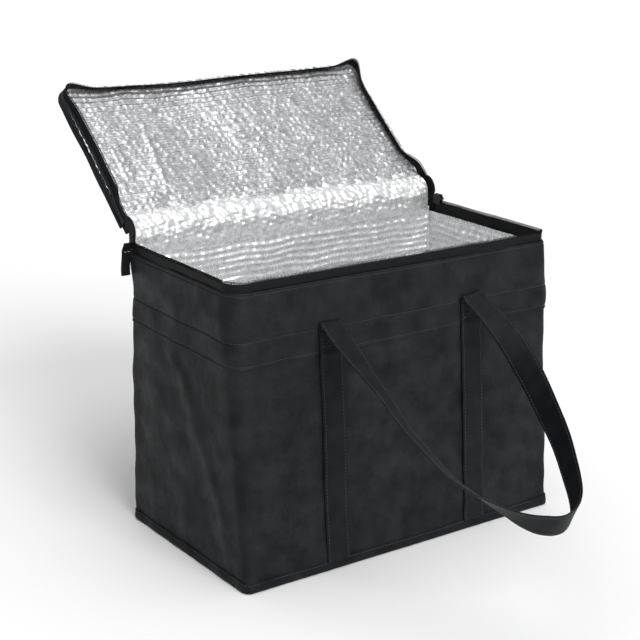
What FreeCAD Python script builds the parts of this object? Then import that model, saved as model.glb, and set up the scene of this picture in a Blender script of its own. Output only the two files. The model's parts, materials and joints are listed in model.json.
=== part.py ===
import FreeCAD, Part
import math
import os
import Sketcher

# Insulated carrier bag: a soft box of cloth, foam and foil, with a zipped lid that folds back
# on a cloth hinge and two webbing handles. X runs along the front, +Y to the back, +Z up;
# the origin is the middle of the base.

Vector = FreeCAD.Vector
doc = FreeCAD.newDocument("carrier")
sheet = doc.addObject("Spreadsheet::Sheet", "Sizes")

sizes = {
    # the box
    "width": 406,
    "base_depth": 229,
    "front_lean": 26,
    "back_lean": 2,
    "rim_height": 302,
    "base_radius": 8,
    "rim_radius": 14,
    # the layers of a wall, from outside to inside
    "cloth": 1.0,
    "foam": 4.0,
    "foil": 0.4,
    "ply_gap": 0.1,
    # the upper band is sewn over the lower panels between these two heights
    "band_low": 227,
    "band_lap": 254,
    "lap_step": 0.3,
    "step_run": 2,
    # the base
    "base_cloth": 1.2,
    "base_board": 2.0,
    "base_clearance": 0.6,
    "binding_height": 11,
    "binding_cloth": 0.9,
    # the zip: tapes stand on the rim and hang from the lid, with the coils edge to edge
    "tape": 0.8,
    "tape_inset": 1.2,
    "coil_inset": 0.7,
    "coil_thick": 1.8,
    "coil_tall": 2.6,
    "coil_gap": 1.2,
    "body_tape_top": 310,
    "zip_rear": 102.5,
    "stop_long": 2.5,
    "stop_over": 0.2,
    "stop_tall_over": 0.4,
    "tail_wide": 10,
    "tail_long": 24,
    "tail_back": 4.5,
    "tail_clearance": 0.4,
    "tail_root_height": 8.5,
    "tail_fold_height": 10,
    "tail_fold_run": 3.5,
    "tail_fold_drop": 1.2,
    "tail_shoulder": 2,
    "tail_cut": 2,
    # the lid, drawn closed and then turned open about the hinge line
    "lid_tape_top": 326,
    "skirt_low": 322,
    "lid_top": 333,
    "lid_rear_radius": 3,
    "edge_tall": 3.5,
    "edge_over": 0.5,
    "edge_rear": 4,
    "hinge_strip_inset": 8,
    "rear_skirt_inset": 3,
    "hinge_back": 114,
    "hinge_height": 324,
    "hinge_gap": 2,
    "lid_open": 140,
    # the handles
    "strap_width": 28,
    "strap_thick": 1.6,
    "strap_apart": 183,
    "strap_low": 11.2,
    "fold_height": 257,
    "fold_clearance": 1.5,
    "front_tilt": 58,
    "back_tilt": 30,
    "tack_wide": 24,
    "tack_tall": 14,
    "tack_drop": 8,
    "tack_thread": 0.4,
    # the slider
    "slider_long": 12,
    "slider_mid": 96,
    "foot_inset": 1,
    "eye_overlap": 0.4,
    "slider_tall": 11.4,
    "plate": 1.0,
    "plate_clearance": 0.3,
    "bar_radius": 0.6,
    "bar_reach": 2.6,
    "eye_radius": 2.0,
    "eye_bore": 1.0,
    "tab_wide": 5.5,
    "tab_thick": 1.2,
    "tab_long": 25,
}

for row, (alias, number) in enumerate(sizes.items(), start=1):
    sheet.set(f"A{row}", alias)
    sheet.set(f"B{row}", str(number))
    sheet.setAlias(f"B{row}", alias)
doc.recompute()


class Size:
    """A length that keeps both its number and the sheet expression that gives it."""

    def __init__(self, number, text):
        self.number = number
        self.text = text

    def __add__(self, other):
        other = as_size(other)
        return Size(self.number + other.number, f"({self.text} + {other.text})")

    def __sub__(self, other):
        other = as_size(other)
        return Size(self.number - other.number, f"({self.text} - {other.text})")

    def __mul__(self, other):
        other = as_size(other)
        return Size(self.number * other.number, f"({self.text} * {other.text})")

    def __truediv__(self, other):
        other = as_size(other)
        return Size(self.number / other.number, f"({self.text} / {other.text})")

    def __neg__(self):
        return Size(-self.number, f"(0 - {self.text})")


def as_size(value):
    return value if isinstance(value, Size) else Size(float(value), f"({value})")


def cell(alias):
    return Size(float(sizes[alias]), f"Sizes.{alias}")


# ---- sketch helpers: every point and radius is a constraint driven by the sheet ----

def hold(sketch, kind, references, size):
    index = sketch.addConstraint(Sketcher.Constraint(kind, *references, size.number))
    sketch.setExpression(f"Constraints[{index}]", size.text)


def hold_point(sketch, geometry, end, across=None, up=None):
    if across is not None:
        hold(sketch, "DistanceX", (-1, 1, geometry, end), across)
    if up is not None:
        hold(sketch, "DistanceY", (-1, 1, geometry, end), up)


def join(sketch, kind, first, first_end, second, second_end):
    sketch.addConstraint(Sketcher.Constraint(kind, first, first_end, second, second_end))


def line(sketch, x0, y0, x1, y1):
    return sketch.addGeometry(Part.LineSegment(Vector(x0, y0, 0), Vector(x1, y1, 0)), False)


def arc(sketch, x, y, radius, start, end):
    circle = Part.Circle(Vector(x, y, 0), Vector(0, 0, 1), radius)
    return sketch.addGeometry(Part.ArcOfCircle(circle, math.radians(start), math.radians(end)), False)


def polygon(sketch, points):
    lines = []
    for here, there in zip(points, points[1:] + points[:1]):
        lines.append(line(sketch, here[0].number, here[1].number, there[0].number, there[1].number))
    for index, geometry in enumerate(lines):
        join(sketch, "Coincident", geometry, 2, lines[(index + 1) % len(lines)], 1)
        hold_point(sketch, geometry, 1, *points[index])


def rounded_rectangle(sketch, half_wide, front, rear, front_radius, rear_radius):
    """A rectangle from -half_wide to half_wide and front to rear, with its own radius at front and rear."""
    w, f, b = half_wide.number, front.number, rear.number
    rf, rr = front_radius.number, rear_radius.number
    sides = [
        line(sketch, -w + rf, f, w - rf, f),
        line(sketch, w, f + rf, w, b - rr),
        line(sketch, w - rr, b, -w + rr, b),
        line(sketch, -w, b - rr, -w, f + rf),
    ]
    corners = [
        arc(sketch, w - rf, f + rf, rf, 270, 360),
        arc(sketch, w - rr, b - rr, rr, 0, 90),
        arc(sketch, -w + rr, b - rr, rr, 90, 180),
        arc(sketch, -w + rf, f + rf, rf, 180, 270),
    ]
    for index in range(4):
        join(sketch, "Tangent", sides[index], 2, corners[index], 1)
        join(sketch, "Tangent", corners[index], 2, sides[(index + 1) % 4], 1)
    for index in (0, 2):
        sketch.addConstraint(Sketcher.Constraint("Horizontal", sides[index]))
        sketch.addConstraint(Sketcher.Constraint("Vertical", sides[index + 1]))
    for corner, radius in zip(corners, (front_radius, rear_radius, rear_radius, front_radius)):
        hold(sketch, "Radius", (corner,), radius)
    hold_point(sketch, sides[1], 1, across=half_wide)
    hold_point(sketch, sides[3], 1, across=-half_wide)
    hold_point(sketch, sides[0], 1, up=front)
    hold_point(sketch, sides[2], 1, up=rear)


def three_sides(sketch, half_wide, front, rear, radius):
    """One edge of a strip that runs up the left side, round the front and down the right side."""
    w, f, b, r = half_wide.number, front.number, rear.number, radius.number
    left = line(sketch, -w, b, -w, f + r)
    left_corner = arc(sketch, -w + r, f + r, r, 180, 270)
    across = line(sketch, -w + r, f, w - r, f)
    right_corner = arc(sketch, w - r, f + r, r, 270, 360)
    right = line(sketch, w, f + r, w, b)
    chain = [left, left_corner, across, right_corner, right]
    for here, there in zip(chain, chain[1:]):
        join(sketch, "Tangent", here, 2, there, 1)
    sketch.addConstraint(Sketcher.Constraint("Vertical", left))
    sketch.addConstraint(Sketcher.Constraint("Horizontal", across))
    sketch.addConstraint(Sketcher.Constraint("Vertical", right))
    hold(sketch, "Radius", (left_corner,), radius)
    hold(sketch, "Radius", (right_corner,), radius)
    hold_point(sketch, left, 1, across=-half_wide, up=rear)
    hold_point(sketch, right, 2, across=half_wide, up=rear)
    hold_point(sketch, across, 1, up=front)
    return left, right


def wall_section(sketch, out, start, end, start_radius, end_radius, outer, inner):
    """One wall seen from above, outward along -y, cut at 45 degrees through the middle of each corner."""
    first = (start + start_radius, -(out - start_radius))
    last = (end - end_radius, -(out - end_radius))
    x0, y0 = first[0].number, first[1].number
    x1, y1 = last[0].number, last[1].number
    half = math.sqrt(0.5)
    arcs, faces = [], []
    for inset in (outer, inner):
        r0 = start_radius.number - inset.number
        r1 = end_radius.number - inset.number
        near = arc(sketch, x0, y0, r0, 225, 270)
        face = line(sketch, x0, y0 - r0, x1, y1 - r1)
        far = arc(sketch, x1, y1, r1, 270, 315)
        join(sketch, "Tangent", near, 2, face, 1)
        join(sketch, "Tangent", face, 2, far, 1)
        hold(sketch, "Radius", (near,), start_radius - inset)
        hold(sketch, "Radius", (far,), end_radius - inset)
        arcs.append((near, far, r0, r1))
        faces.append(face)
    (near, far, r0, r1), (near_in, far_in, s0, s1) = arcs
    start_cut = line(sketch, x0 - r0 * half, y0 - r0 * half, x0 - s0 * half, y0 - s0 * half)
    end_cut = line(sketch, x1 + r1 * half, y1 - r1 * half, x1 + s1 * half, y1 - s1 * half)
    join(sketch, "Coincident", near, 1, start_cut, 1)
    join(sketch, "Coincident", near_in, 1, start_cut, 2)
    join(sketch, "Coincident", far, 2, end_cut, 1)
    join(sketch, "Coincident", far_in, 2, end_cut, 2)
    join(sketch, "Coincident", near, 3, near_in, 3)
    join(sketch, "Coincident", far, 3, far_in, 3)
    sketch.addConstraint(Sketcher.Constraint("Horizontal", faces[0]))
    hold_point(sketch, near, 3, *first)
    hold_point(sketch, far, 3, across=last[0])
    for cut, centre in ((start_cut, near), (end_cut, far)):
        sketch.addConstraint(Sketcher.Constraint("PointOnObject", centre, 3, cut))
    sketch.addConstraint(Sketcher.Constraint("Angle", start_cut, math.radians(45)))
    sketch.addConstraint(Sketcher.Constraint("Angle", end_cut, math.radians(135)))


# ---- body helpers ----

def new_body(label):
    body = doc.addObject("PartDesign::Body", label)
    body.Label = label
    return body


def new_sketch(body, name, role="XY_Plane", height=None):
    sketch = body.newObject("Sketcher::SketchObject", name)
    plane = [item for item in body.Origin.OriginFeatures if item.Role == role][0]
    sketch.AttachmentSupport = [(plane, "")]
    sketch.MapMode = "FlatFace"
    if height is not None:
        sketch.setExpression("AttachmentOffset.Base.z", height.text)
    return sketch


def pad(body, sketch, length, symmetric=False):
    feature = body.newObject("PartDesign::Pad", body.Label + "_pad")
    feature.Profile = sketch
    feature.setExpression("Length", length.text)
    feature.Midplane = symmetric
    sketch.Visibility = False
    return feature


def box(label, low, size):
    """A box whose lowest corner and sides are all driven by the sheet."""
    solid = doc.addObject("Part::Box", label)
    solid.Label = label
    for axis, value in zip("xyz", low):
        solid.setExpression(f"Placement.Base.{axis}", as_size(value).text)
    for side, value in zip(("Length", "Width", "Height"), size):
        solid.setExpression(side, as_size(value).text)
    return solid


def group(label, kind, pieces):
    joined = doc.addObject(kind, label)
    joined.Label = label
    if kind == "Part::Compound":
        joined.Links = pieces
    else:
        joined.Shapes = pieces
    return joined


# ---- the box's outline at a height ----

half_width = cell("width") / 2
rise = cell("rim_height")


def front_at(height):
    return cell("base_depth") / 2 - cell("front_lean") * height / rise


def back_at(height):
    return cell("base_depth") / 2 - cell("back_lean") * height / rise


def corner_at(height):
    return cell("base_radius") + (cell("rim_radius") - cell("base_radius")) * height / rise


def side_at(side, height):
    """How a wall lies at a height: turn, distance out, its two ends and the radius at each end."""
    front, back = front_at(height), back_at(height)
    corner, rear_corner = corner_at(height), cell("base_radius")
    return {
        "front": (0, front, -half_width, half_width, corner, corner),
        "right": (90, half_width, -front, back, corner, rear_corner),
        "back": (180, back, -half_width, half_width, rear_corner, rear_corner),
        "left": (270, half_width, -back, front, rear_corner, corner),
    }[side]


def wall(label, side, low, high, outer, inner):
    body = new_body(label)
    sections = []
    for name, height in (("low", low), ("high", high)):
        sketch = new_sketch(body, f"{label}_{name}", height=height)
        wall_section(sketch, *side_at(side, height)[1:], outer, inner)
        sketch.Visibility = False
        sections.append(sketch)
    loft = body.newObject("PartDesign::AdditiveLoft", label + "_loft")
    loft.Profile = sections[0]
    loft.Sections = sections[1:]
    loft.Ruled = True
    body.Placement = FreeCAD.Placement(Vector(), FreeCAD.Rotation(Vector(0, 0, 1), side_at(side, low)[0]))
    return body


def base_plate(label, low, thick, inset):
    body = new_body(label)
    sketch = new_sketch(body, label + "_outline", height=low)
    corner = cell("base_radius") - inset
    reach = cell("base_depth") / 2 - inset
    rounded_rectangle(sketch, half_width - inset, -reach, reach, corner, corner)
    pad(body, sketch, thick)
    return body


def rim_strip(label, low, tall, outer, inner, rear):
    """An upright strip on three sides of the rim, between two insets."""
    body = new_body(label)
    sketch = new_sketch(body, label + "_outline", height=low)
    front = -front_at(rise)
    ends = []
    for inset in (outer, inner):
        radius = cell("rim_radius") - inset
        edges = three_sides(sketch, half_width - inset, front + inset, rear, radius)
        ends.append(edges)
    reach = rear.number
    for side, end, sign in ((0, 1, -1), (1, 2, 1)):
        far, near = (sign * (half_width - inset).number for inset in (outer, inner))
        cap = line(sketch, far, reach, near, reach)
        join(sketch, "Coincident", cap, 1, ends[0][side], end)
        join(sketch, "Coincident", cap, 2, ends[1][side], end)
    pad(body, sketch, tall)
    return body


# ---- the walls ----

gap = cell("ply_gap")
cloth_in = cell("cloth")
foam_out = cloth_in + gap
foam_in = foam_out + cell("foam")
foil_out = foam_in + gap
foil_in = foil_out + cell("foil")
base_inset = foil_out + cell("base_clearance")
floor_top = cell("base_cloth") + gap
board_top = floor_top + cell("base_board")
base_foam_top = board_top + gap + cell("foam")
base_foil_top = base_foam_top + gap + cell("foil")

outputs = []
for side in ("front", "back", "left", "right"):
    outputs.append(wall(side + "_panel", side, floor_top, cell("band_lap"), as_size(0), cloth_in))
    outputs.append(wall(side + "_band", side, cell("band_low"), rise, -(gap + cell("cloth")), -gap))
    outputs.append(wall(side + "_foam", side, floor_top, rise, foam_out, foam_in))
    outputs.append(wall(side + "_foil", side, base_foil_top + gap, rise, foil_out, foil_in))

# ---- the base ----

outputs.append(base_plate("base_panel", as_size(0), cell("base_cloth"), as_size(0)))
outputs.append(base_plate("base_board", floor_top, cell("base_board"), base_inset))
outputs.append(base_plate("base_foam", board_top + gap, cell("foam"), base_inset))
outputs.append(base_plate("base_foil", base_foam_top + gap, cell("foil"), base_inset))

binding = new_body("base_binding")
binding_outline = new_sketch(binding, "base_binding_outline")
for outset in (gap, gap + cell("binding_cloth")):
    reach = cell("base_depth") / 2 + outset
    corner = cell("base_radius") + outset
    rounded_rectangle(binding_outline, half_width + outset, -reach, reach, corner, corner)
pad(binding, binding_outline, cell("binding_height"))
outputs.append(binding)

# ---- the zip on the box ----

tape_in = cell("tape_inset") + cell("tape")
coil_in = cell("coil_inset") + cell("coil_thick")
body_coil_low = cell("body_tape_top")
lid_coil_low = body_coil_low + cell("coil_tall") + cell("coil_gap")
lid_tape_low = lid_coil_low + cell("coil_tall")
zip_rear = cell("zip_rear")

tape_low = rise + gap
tape_tall = body_coil_low - tape_low
tape_out, coil_out, coil_tall = cell("tape_inset"), cell("coil_inset"), cell("coil_tall")
outputs.append(rim_strip("body_zip_tape", tape_low, tape_tall, tape_out, tape_in, zip_rear))
outputs.append(rim_strip("body_zip_coil", body_coil_low, coil_tall, coil_out, coil_in, zip_rear))

stop_over = cell("stop_over")
stop_low = body_coil_low - cell("stop_tall_over")
stop_tall = coil_tall + cell("stop_tall_over") * 2
stop_size = (cell("coil_thick") + stop_over * 2, cell("stop_long"), stop_tall)
stop_left = -(half_width - cell("coil_inset") + stop_over)
stop_right = half_width - coil_in - stop_over
stops = []
for name, x in (("left", stop_left), ("right", stop_right)):
    stops.append(box("zip_stop_" + name, (x, zip_rear + gap, stop_low), stop_size))
outputs.append(group("zip_end_stops", "Part::Compound", stops))

# The spare end of the tape is folded over the rear left corner and hangs outside.
tail = new_body("zip_tail")
tail_sketch = new_sketch(tail, "zip_tail_side", "XZ_Plane")
tail_root = half_width - cell("tape_inset")
tail_near = half_width + cell("cloth") + gap + gap + cell("tail_clearance")
tail_far = tail_near + cell("tail_wide")
tail_low = rise - cell("tail_long")
tail_top = rise + cell("tail_fold_height")
polygon(tail_sketch, [
    (-tail_root, rise + cell("tail_root_height")),
    (-tail_root, tail_top),
    (-(tail_near + cell("tail_fold_run")), tail_top - cell("tail_fold_drop")),
    (-tail_far, rise + cell("tail_shoulder")),
    (-tail_far, tail_low + cell("tail_cut")),
    (-tail_near, tail_low),
    (-tail_near, rise + cell("tail_root_height")),
])
pad(tail, tail_sketch, cell("tape") * 2, symmetric=True)
tail.setExpression("Placement.Base.y", (zip_rear + cell("tail_back")).text)
outputs.append(tail)

# ---- the hinge strip and the lid ----

hinge_front = back_at(rise) + gap
hinge_low = rise + gap
strip_half = half_width - cell("hinge_strip_inset")
strip_size = (strip_half * 2, cell("cloth"), cell("hinge_height") - cell("hinge_gap") - hinge_low)
outputs.append(box("hinge_strip", (-strip_half, hinge_front, hinge_low), strip_size))

lid_rear = cell("hinge_back")
lid_skin_low = cell("lid_top") - cell("cloth")
lid_foam_low = lid_skin_low - gap - cell("foam")
lid_foil_low = lid_foam_low - gap - cell("foil")


def lid_plate(label, low, thick, inset):
    body = new_body(label)
    sketch = new_sketch(body, label + "_outline", height=low)
    front = -front_at(rise) + inset
    corners = (cell("rim_radius") - inset, cell("lid_rear_radius") - inset)
    rounded_rectangle(sketch, half_width - inset, front, lid_rear - inset, *corners)
    pad(body, sketch, thick)
    return body


skirt_rear = lid_rear - cell("cloth") - gap
rear_skirt_low = cell("hinge_height") + cell("hinge_gap")
rear_skirt_half = half_width - cell("rear_skirt_inset")
rear_skirt_size = (rear_skirt_half * 2, cell("cloth"), lid_skin_low - gap - rear_skirt_low)
rear_skirt_place = (-rear_skirt_half, lid_rear - cell("cloth"), rear_skirt_low)
skirt_tall = lid_skin_low - gap - cell("skirt_low")
lid_tape_tall = cell("lid_tape_top") - lid_tape_low
edge_low = cell("lid_top") + cell("edge_over") - cell("edge_tall")
edge_out = -(gap + cell("binding_cloth"))
edge_rear = lid_rear - cell("edge_rear")
lid_pieces = [
    lid_plate("lid_panel", lid_skin_low, cell("cloth"), as_size(0)),
    lid_plate("lid_foam", lid_foam_low, cell("foam"), foam_out + gap),
    lid_plate("lid_foil", lid_foil_low, cell("foil"), foam_out + gap),
    rim_strip("lid_skirt", cell("skirt_low"), skirt_tall, as_size(0), cloth_in, skirt_rear),
    box("lid_rear_skirt", rear_skirt_place, rear_skirt_size),
    rim_strip("lid_zip_tape", lid_tape_low, lid_tape_tall, tape_out, tape_in, zip_rear),
    rim_strip("lid_zip_coil", lid_coil_low, coil_tall, coil_out, coil_in, zip_rear),
    rim_strip("lid_edge_binding", edge_low, cell("edge_tall"), edge_out, -gap, edge_rear),
]

# Each lid piece was drawn closed; it is turned back about the hinge line to stand open.
hinge_line = Vector(0, sizes["hinge_back"], sizes["hinge_height"])
opening = FreeCAD.Placement(Vector(), FreeCAD.Rotation(Vector(1, 0, 0), -sizes["lid_open"]), hinge_line)
doc.recompute()
for piece in lid_pieces:
    for axis in "xyz":
        piece.setExpression(f"Placement.Base.{axis}", None)
    piece.Placement = opening.multiply(piece.Placement)
outputs += lid_pieces

# ---- the sewn straps ----

strap_thick = cell("strap_thick")
fold = cell("fold_height")
lap = gap + cell("cloth") + gap
strap_top = fold + strap_thick
step = cell("band_low") - cell("lap_step")
step_foot = step - cell("step_run")


def sewn_strap(label, sign, face_at, across):
    """A strap laid flat on the wall, stepping out over the band; sign is -1 in front and +1 behind."""
    def point(height, offset):
        return (face_at(height) + offset) * sign, height

    body = new_body(label)
    sketch = new_sketch(body, label + "_side", "YZ_Plane")
    polygon(sketch, [
        point(cell("strap_low"), gap),
        point(step, gap),
        point(step, lap),
        point(strap_top, lap),
        point(strap_top, lap + strap_thick),
        point(step_foot, lap + strap_thick),
        point(step_foot, gap + strap_thick),
        point(cell("strap_low"), gap + strap_thick),
    ])
    pad(body, sketch, cell("strap_width"), symmetric=True)
    body.setExpression("Placement.Base.x", across.text)
    return body


tacks = []
for name, sign, face_at in (("front", -1, front_at), ("back", 1, back_at)):
    for hand, across in (("left", -cell("strap_apart") / 2), ("right", cell("strap_apart") / 2)):
        outputs.append(sewn_strap(f"{name}_strap_{hand}", sign, face_at, across))
        tack_low = fold - cell("tack_drop") - cell("tack_tall")
        near = face_at(tack_low) + lap + strap_thick + gap
        y = near if sign > 0 else -(near + cell("tack_thread"))
        low = (across - cell("tack_wide") / 2, y, tack_low)
        tack_size = (cell("tack_wide"), cell("tack_thread"), cell("tack_tall"))
        tacks.append(box(f"tack_{name}_{hand}", low, tack_size))
outputs.append(group("strap_tacks", "Part::Compound", tacks))

# ---- the free handle loops ----

# Points of the middle line: across the bag, and out from the fold line in the plane that the loop lies in.
front_route = [
    (-91.5, 2), (-91, 45), (-89, 96), (-86, 157), (-73, 209), (-50, 247), (-23, 272), (3, 282),
    (23, 275), (42, 253), (61, 214), (78, 163), (92, 103), (98, 50), (91.5, 2),
]
back_route = [
    (-91.5, 2), (-94, 90), (-86, 170), (-57, 245), (0, 286),
    (57, 245), (86, 170), (94, 90), (91.5, 2),
]
loop_stations = 27
full_twist = math.pi / 2
twist_shape = 0.6


def fold_line(sign, face_at):
    reach = face_at(fold) + lap + strap_thick + cell("fold_clearance")
    return Vector(0, sign * reach.number, sizes["fold_height"])


def solid_through(sections):
    """A closed solid of ruled faces through four-cornered sections."""
    faces = [Part.Face(Part.makePolygon(end + end[:1])) for end in (sections[0], sections[-1])]
    for here, there in zip(sections, sections[1:]):
        for index in range(4):
            following = (index + 1) % 4
            near = Part.makeLine(here[index], here[following])
            far = Part.makeLine(there[index], there[following])
            faces.append(Part.makeRuledSurface(near, far))
    shell = Part.makeShell(faces)
    shell.sewShape()
    solid = Part.Solid(shell)
    if solid.Volume < 0:
        solid.reverse()
    return solid


def handle_loop(label, route, sign, tilt, face_at):
    """A ribbon along the route that twists from flat at the folds to standing on edge at its far end."""
    angle = math.radians(tilt)
    origin = fold_line(sign, face_at)
    out = Vector(0, sign * math.sin(angle), -math.cos(angle))
    normal = Vector(0, sign * math.cos(angle), math.sin(angle))
    across = Vector(1, 0, 0)
    curve = Part.BSplineCurve()
    curve.interpolate([origin + across * x + out * y for x, y in route])
    middle = curve.toShape().discretize(Number=loop_stations)
    sections = []
    for index, point in enumerate(middle):
        before = middle[max(index - 1, 0)]
        after = middle[min(index + 1, loop_stations - 1)]
        along = (after - before).normalize()
        inward = across * along.dot(out) - out * along.dot(across)
        share = index / (loop_stations - 1)
        twist = full_twist * abs(math.sin(math.pi * share)) ** twist_shape
        face = normal * math.cos(twist) + inward * math.sin(twist)
        edge = along.cross(face) * (sizes["strap_width"] / 2)
        face = face * (sizes["strap_thick"] / 2)
        sections.append([point + edge + face, point - edge + face, point - edge - face, point + edge - face])
    loop = doc.addObject("Part::Feature", label)
    loop.Label = label
    loop.Shape = solid_through(sections)
    fold_place = [round(value, 3) for value in origin]
    print(label, "free length", round(curve.length()), "mm, folds at", fold_place)
    return loop


outputs.append(handle_loop("front_handle_loop", front_route, -1, sizes["front_tilt"], front_at))
outputs.append(handle_loop("back_handle_loop", back_route, 1, sizes["back_tilt"], back_at))

# ---- the slider and its pull, on the right side ----

slider_low_y = cell("slider_mid") - cell("slider_long") / 2
plate = cell("plate")
clear = cell("plate_clearance")
outer_plate_x = half_width - cell("coil_inset") + clear
inner_plate_x = half_width - coil_in - clear - plate
zip_plane = body_coil_low + cell("coil_tall") + cell("coil_gap") / 2
plate_low = zip_plane - cell("slider_tall") / 2
plate_size = (plate, cell("slider_long"), cell("slider_tall"))
web_low = (inner_plate_x + plate / 2, slider_low_y, zip_plane - cell("coil_gap") / 4)
web_size = (outer_plate_x - inner_plate_x, cell("slider_long"), cell("coil_gap") / 2)
bar_x = outer_plate_x + plate + cell("bar_reach")
foot = cell("bar_radius") * 2
slider_pieces = [
    box("slider_outer_plate", (outer_plate_x, slider_low_y, plate_low), plate_size),
    box("slider_inner_plate", (inner_plate_x, slider_low_y, plate_low), plate_size),
    box("slider_web", web_low, web_size),
]
foot_inset = cell("foot_inset")
rear_foot = slider_low_y + cell("slider_long") - foot_inset - foot
front_foot = slider_low_y + foot_inset
for name, y in (("rear", rear_foot), ("front", front_foot)):
    low = (outer_plate_x + plate / 2, y, zip_plane - cell("bar_radius"))
    slider_pieces.append(box("slider_foot_" + name, low, (bar_x - outer_plate_x, foot, foot)))
bar = doc.addObject("Part::Cylinder", "slider_bar")
bar.setExpression("Radius", cell("bar_radius").text)
bar.setExpression("Height", (cell("slider_long") - foot_inset * 2).text)
bar.Placement.Rotation = FreeCAD.Rotation(Vector(1, 0, 0), -90)
for axis, value in zip("xyz", (bar_x, front_foot, zip_plane)):
    bar.setExpression(f"Placement.Base.{axis}", value.text)
slider_pieces.append(bar)
outputs.append(group("zip_slider", "Part::MultiFuse", slider_pieces))

# The tab hangs from an eye round the bar.
pull = new_body("zip_pull")
eye = new_sketch(pull, "zip_pull_eye", "XZ_Plane")
for radius in ("eye_radius", "eye_bore"):
    circle = eye.addGeometry(Part.Circle(Vector(), Vector(0, 0, 1), sizes[radius]), False)
    join(eye, "Coincident", circle, 3, -1, 1)
    hold(eye, "Radius", (circle,), cell(radius))
pad(pull, eye, cell("tab_wide"), symmetric=True)
tab = new_sketch(pull, "zip_pull_tab", "XZ_Plane")
half_tab = cell("tab_thick") / 2
tab_top = -(cell("eye_bore") + cell("eye_overlap"))
tab_low = -(cell("eye_bore") + cell("tab_long"))
polygon(tab, [(-half_tab, tab_low), (half_tab, tab_low), (half_tab, tab_top), (-half_tab, tab_top)])
pad(pull, tab, cell("tab_wide"), symmetric=True)
for axis, value in zip("xyz", (bar_x, cell("slider_mid"), zip_plane)):
    pull.setExpression(f"Placement.Base.{axis}", value.text)
outputs.append(pull)

# ---- check and write ----

doc.recompute()
for item in doc.Objects:
    if "Invalid" in item.State or "Error" in item.State:
        raise RuntimeError(f"{item.Label} failed: {item.State}")

os.makedirs("parts", exist_ok=True)
for item in outputs:
    shape = item.Shape
    if shape.isNull() or not shape.isValid() or not shape.Solids:
        raise RuntimeError(f"{item.Label} has no valid solid")
    shape.exportStep(f"parts/{item.Label}.step")
    print(f"{item.Label:20s} volume {shape.Volume / 1000:8.2f} cm3")
bar_place = [round(value, 2) for value in (bar_x.number, sizes["slider_mid"], zip_plane.number)]
print(len(outputs), "nodes; slider bar at", bar_place)
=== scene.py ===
import json
import math

import bpy
import numpy as np
from mathutils import Matrix, Vector


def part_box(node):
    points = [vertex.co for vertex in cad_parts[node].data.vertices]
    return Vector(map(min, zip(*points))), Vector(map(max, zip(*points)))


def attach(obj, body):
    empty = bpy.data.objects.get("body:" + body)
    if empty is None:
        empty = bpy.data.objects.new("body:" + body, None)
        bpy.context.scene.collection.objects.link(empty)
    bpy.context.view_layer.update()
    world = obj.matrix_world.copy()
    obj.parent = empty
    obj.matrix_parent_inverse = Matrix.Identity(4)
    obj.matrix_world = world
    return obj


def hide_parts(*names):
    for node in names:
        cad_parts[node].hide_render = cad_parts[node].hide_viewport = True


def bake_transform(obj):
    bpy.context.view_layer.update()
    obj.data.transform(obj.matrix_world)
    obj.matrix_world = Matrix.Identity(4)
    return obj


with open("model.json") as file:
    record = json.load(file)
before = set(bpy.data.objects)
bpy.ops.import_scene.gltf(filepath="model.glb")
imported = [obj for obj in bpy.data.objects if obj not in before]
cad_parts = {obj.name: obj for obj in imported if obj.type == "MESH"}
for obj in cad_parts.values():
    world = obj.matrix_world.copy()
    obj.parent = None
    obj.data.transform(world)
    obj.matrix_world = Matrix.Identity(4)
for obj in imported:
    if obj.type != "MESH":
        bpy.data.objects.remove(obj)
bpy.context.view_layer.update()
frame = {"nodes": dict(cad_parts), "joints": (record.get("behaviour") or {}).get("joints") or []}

scene = bpy.context.scene
print("frame loaded")

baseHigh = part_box("base_panel")[1]
bandLow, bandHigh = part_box("left_band")
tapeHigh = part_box("body_zip_tape")[1]
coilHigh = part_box("body_zip_coil")[1]
joints = {joint["name"]: joint for joint in frame["joints"]}
hinge = np.array(joints["lid_hinge"]["pos_m"])

bag = {
    "halfWide": baseHigh.x,
    "halfDepth": baseHigh.y,
    "frontLean": 0.026,        # how far the front wall leans in by the rim
    "backLean": 0.002,
    "rim": bandHigh.z,
    "baseRound": 0.008,
    "rimRounds": (0.021, 0.010),   # the front corners at the rim: the left one is soft, the right one is sharp
    "rearRound": 0.008,
    "bandFoot": bandLow.z,
    "bandLap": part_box("left_panel")[1].z,
    "tapeTop": tapeHigh.z,
    "coilTop": coilHigh.z,
    "zipRear": tapeHigh.y,
    "lidTop": 0.333,
    "lidOpen": math.radians(140),
}


def ease(t):
    # 0 to 1 along the cubic 3t^2 - 2t^3, flat at both ends
    t = np.clip(t, 0, 1)
    return t * t * (3 - 2 * t)


def softNoise(points, size, seed, waves=14):
    # the sum of sine waves in seeded directions, each about `size` long, scaled to about -1..1
    rng = np.random.default_rng(seed)
    ways = rng.normal(size=(waves, 3))
    ways /= np.linalg.norm(ways, axis=1)[:, None]
    ways *= (rng.uniform(0.7, 1.45, waves) * 2 * math.pi / size)[:, None]
    phases = rng.uniform(0, 2 * math.pi, waves)
    return np.sin(points @ ways.T + phases).sum(-1) / math.sqrt(waves)


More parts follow.
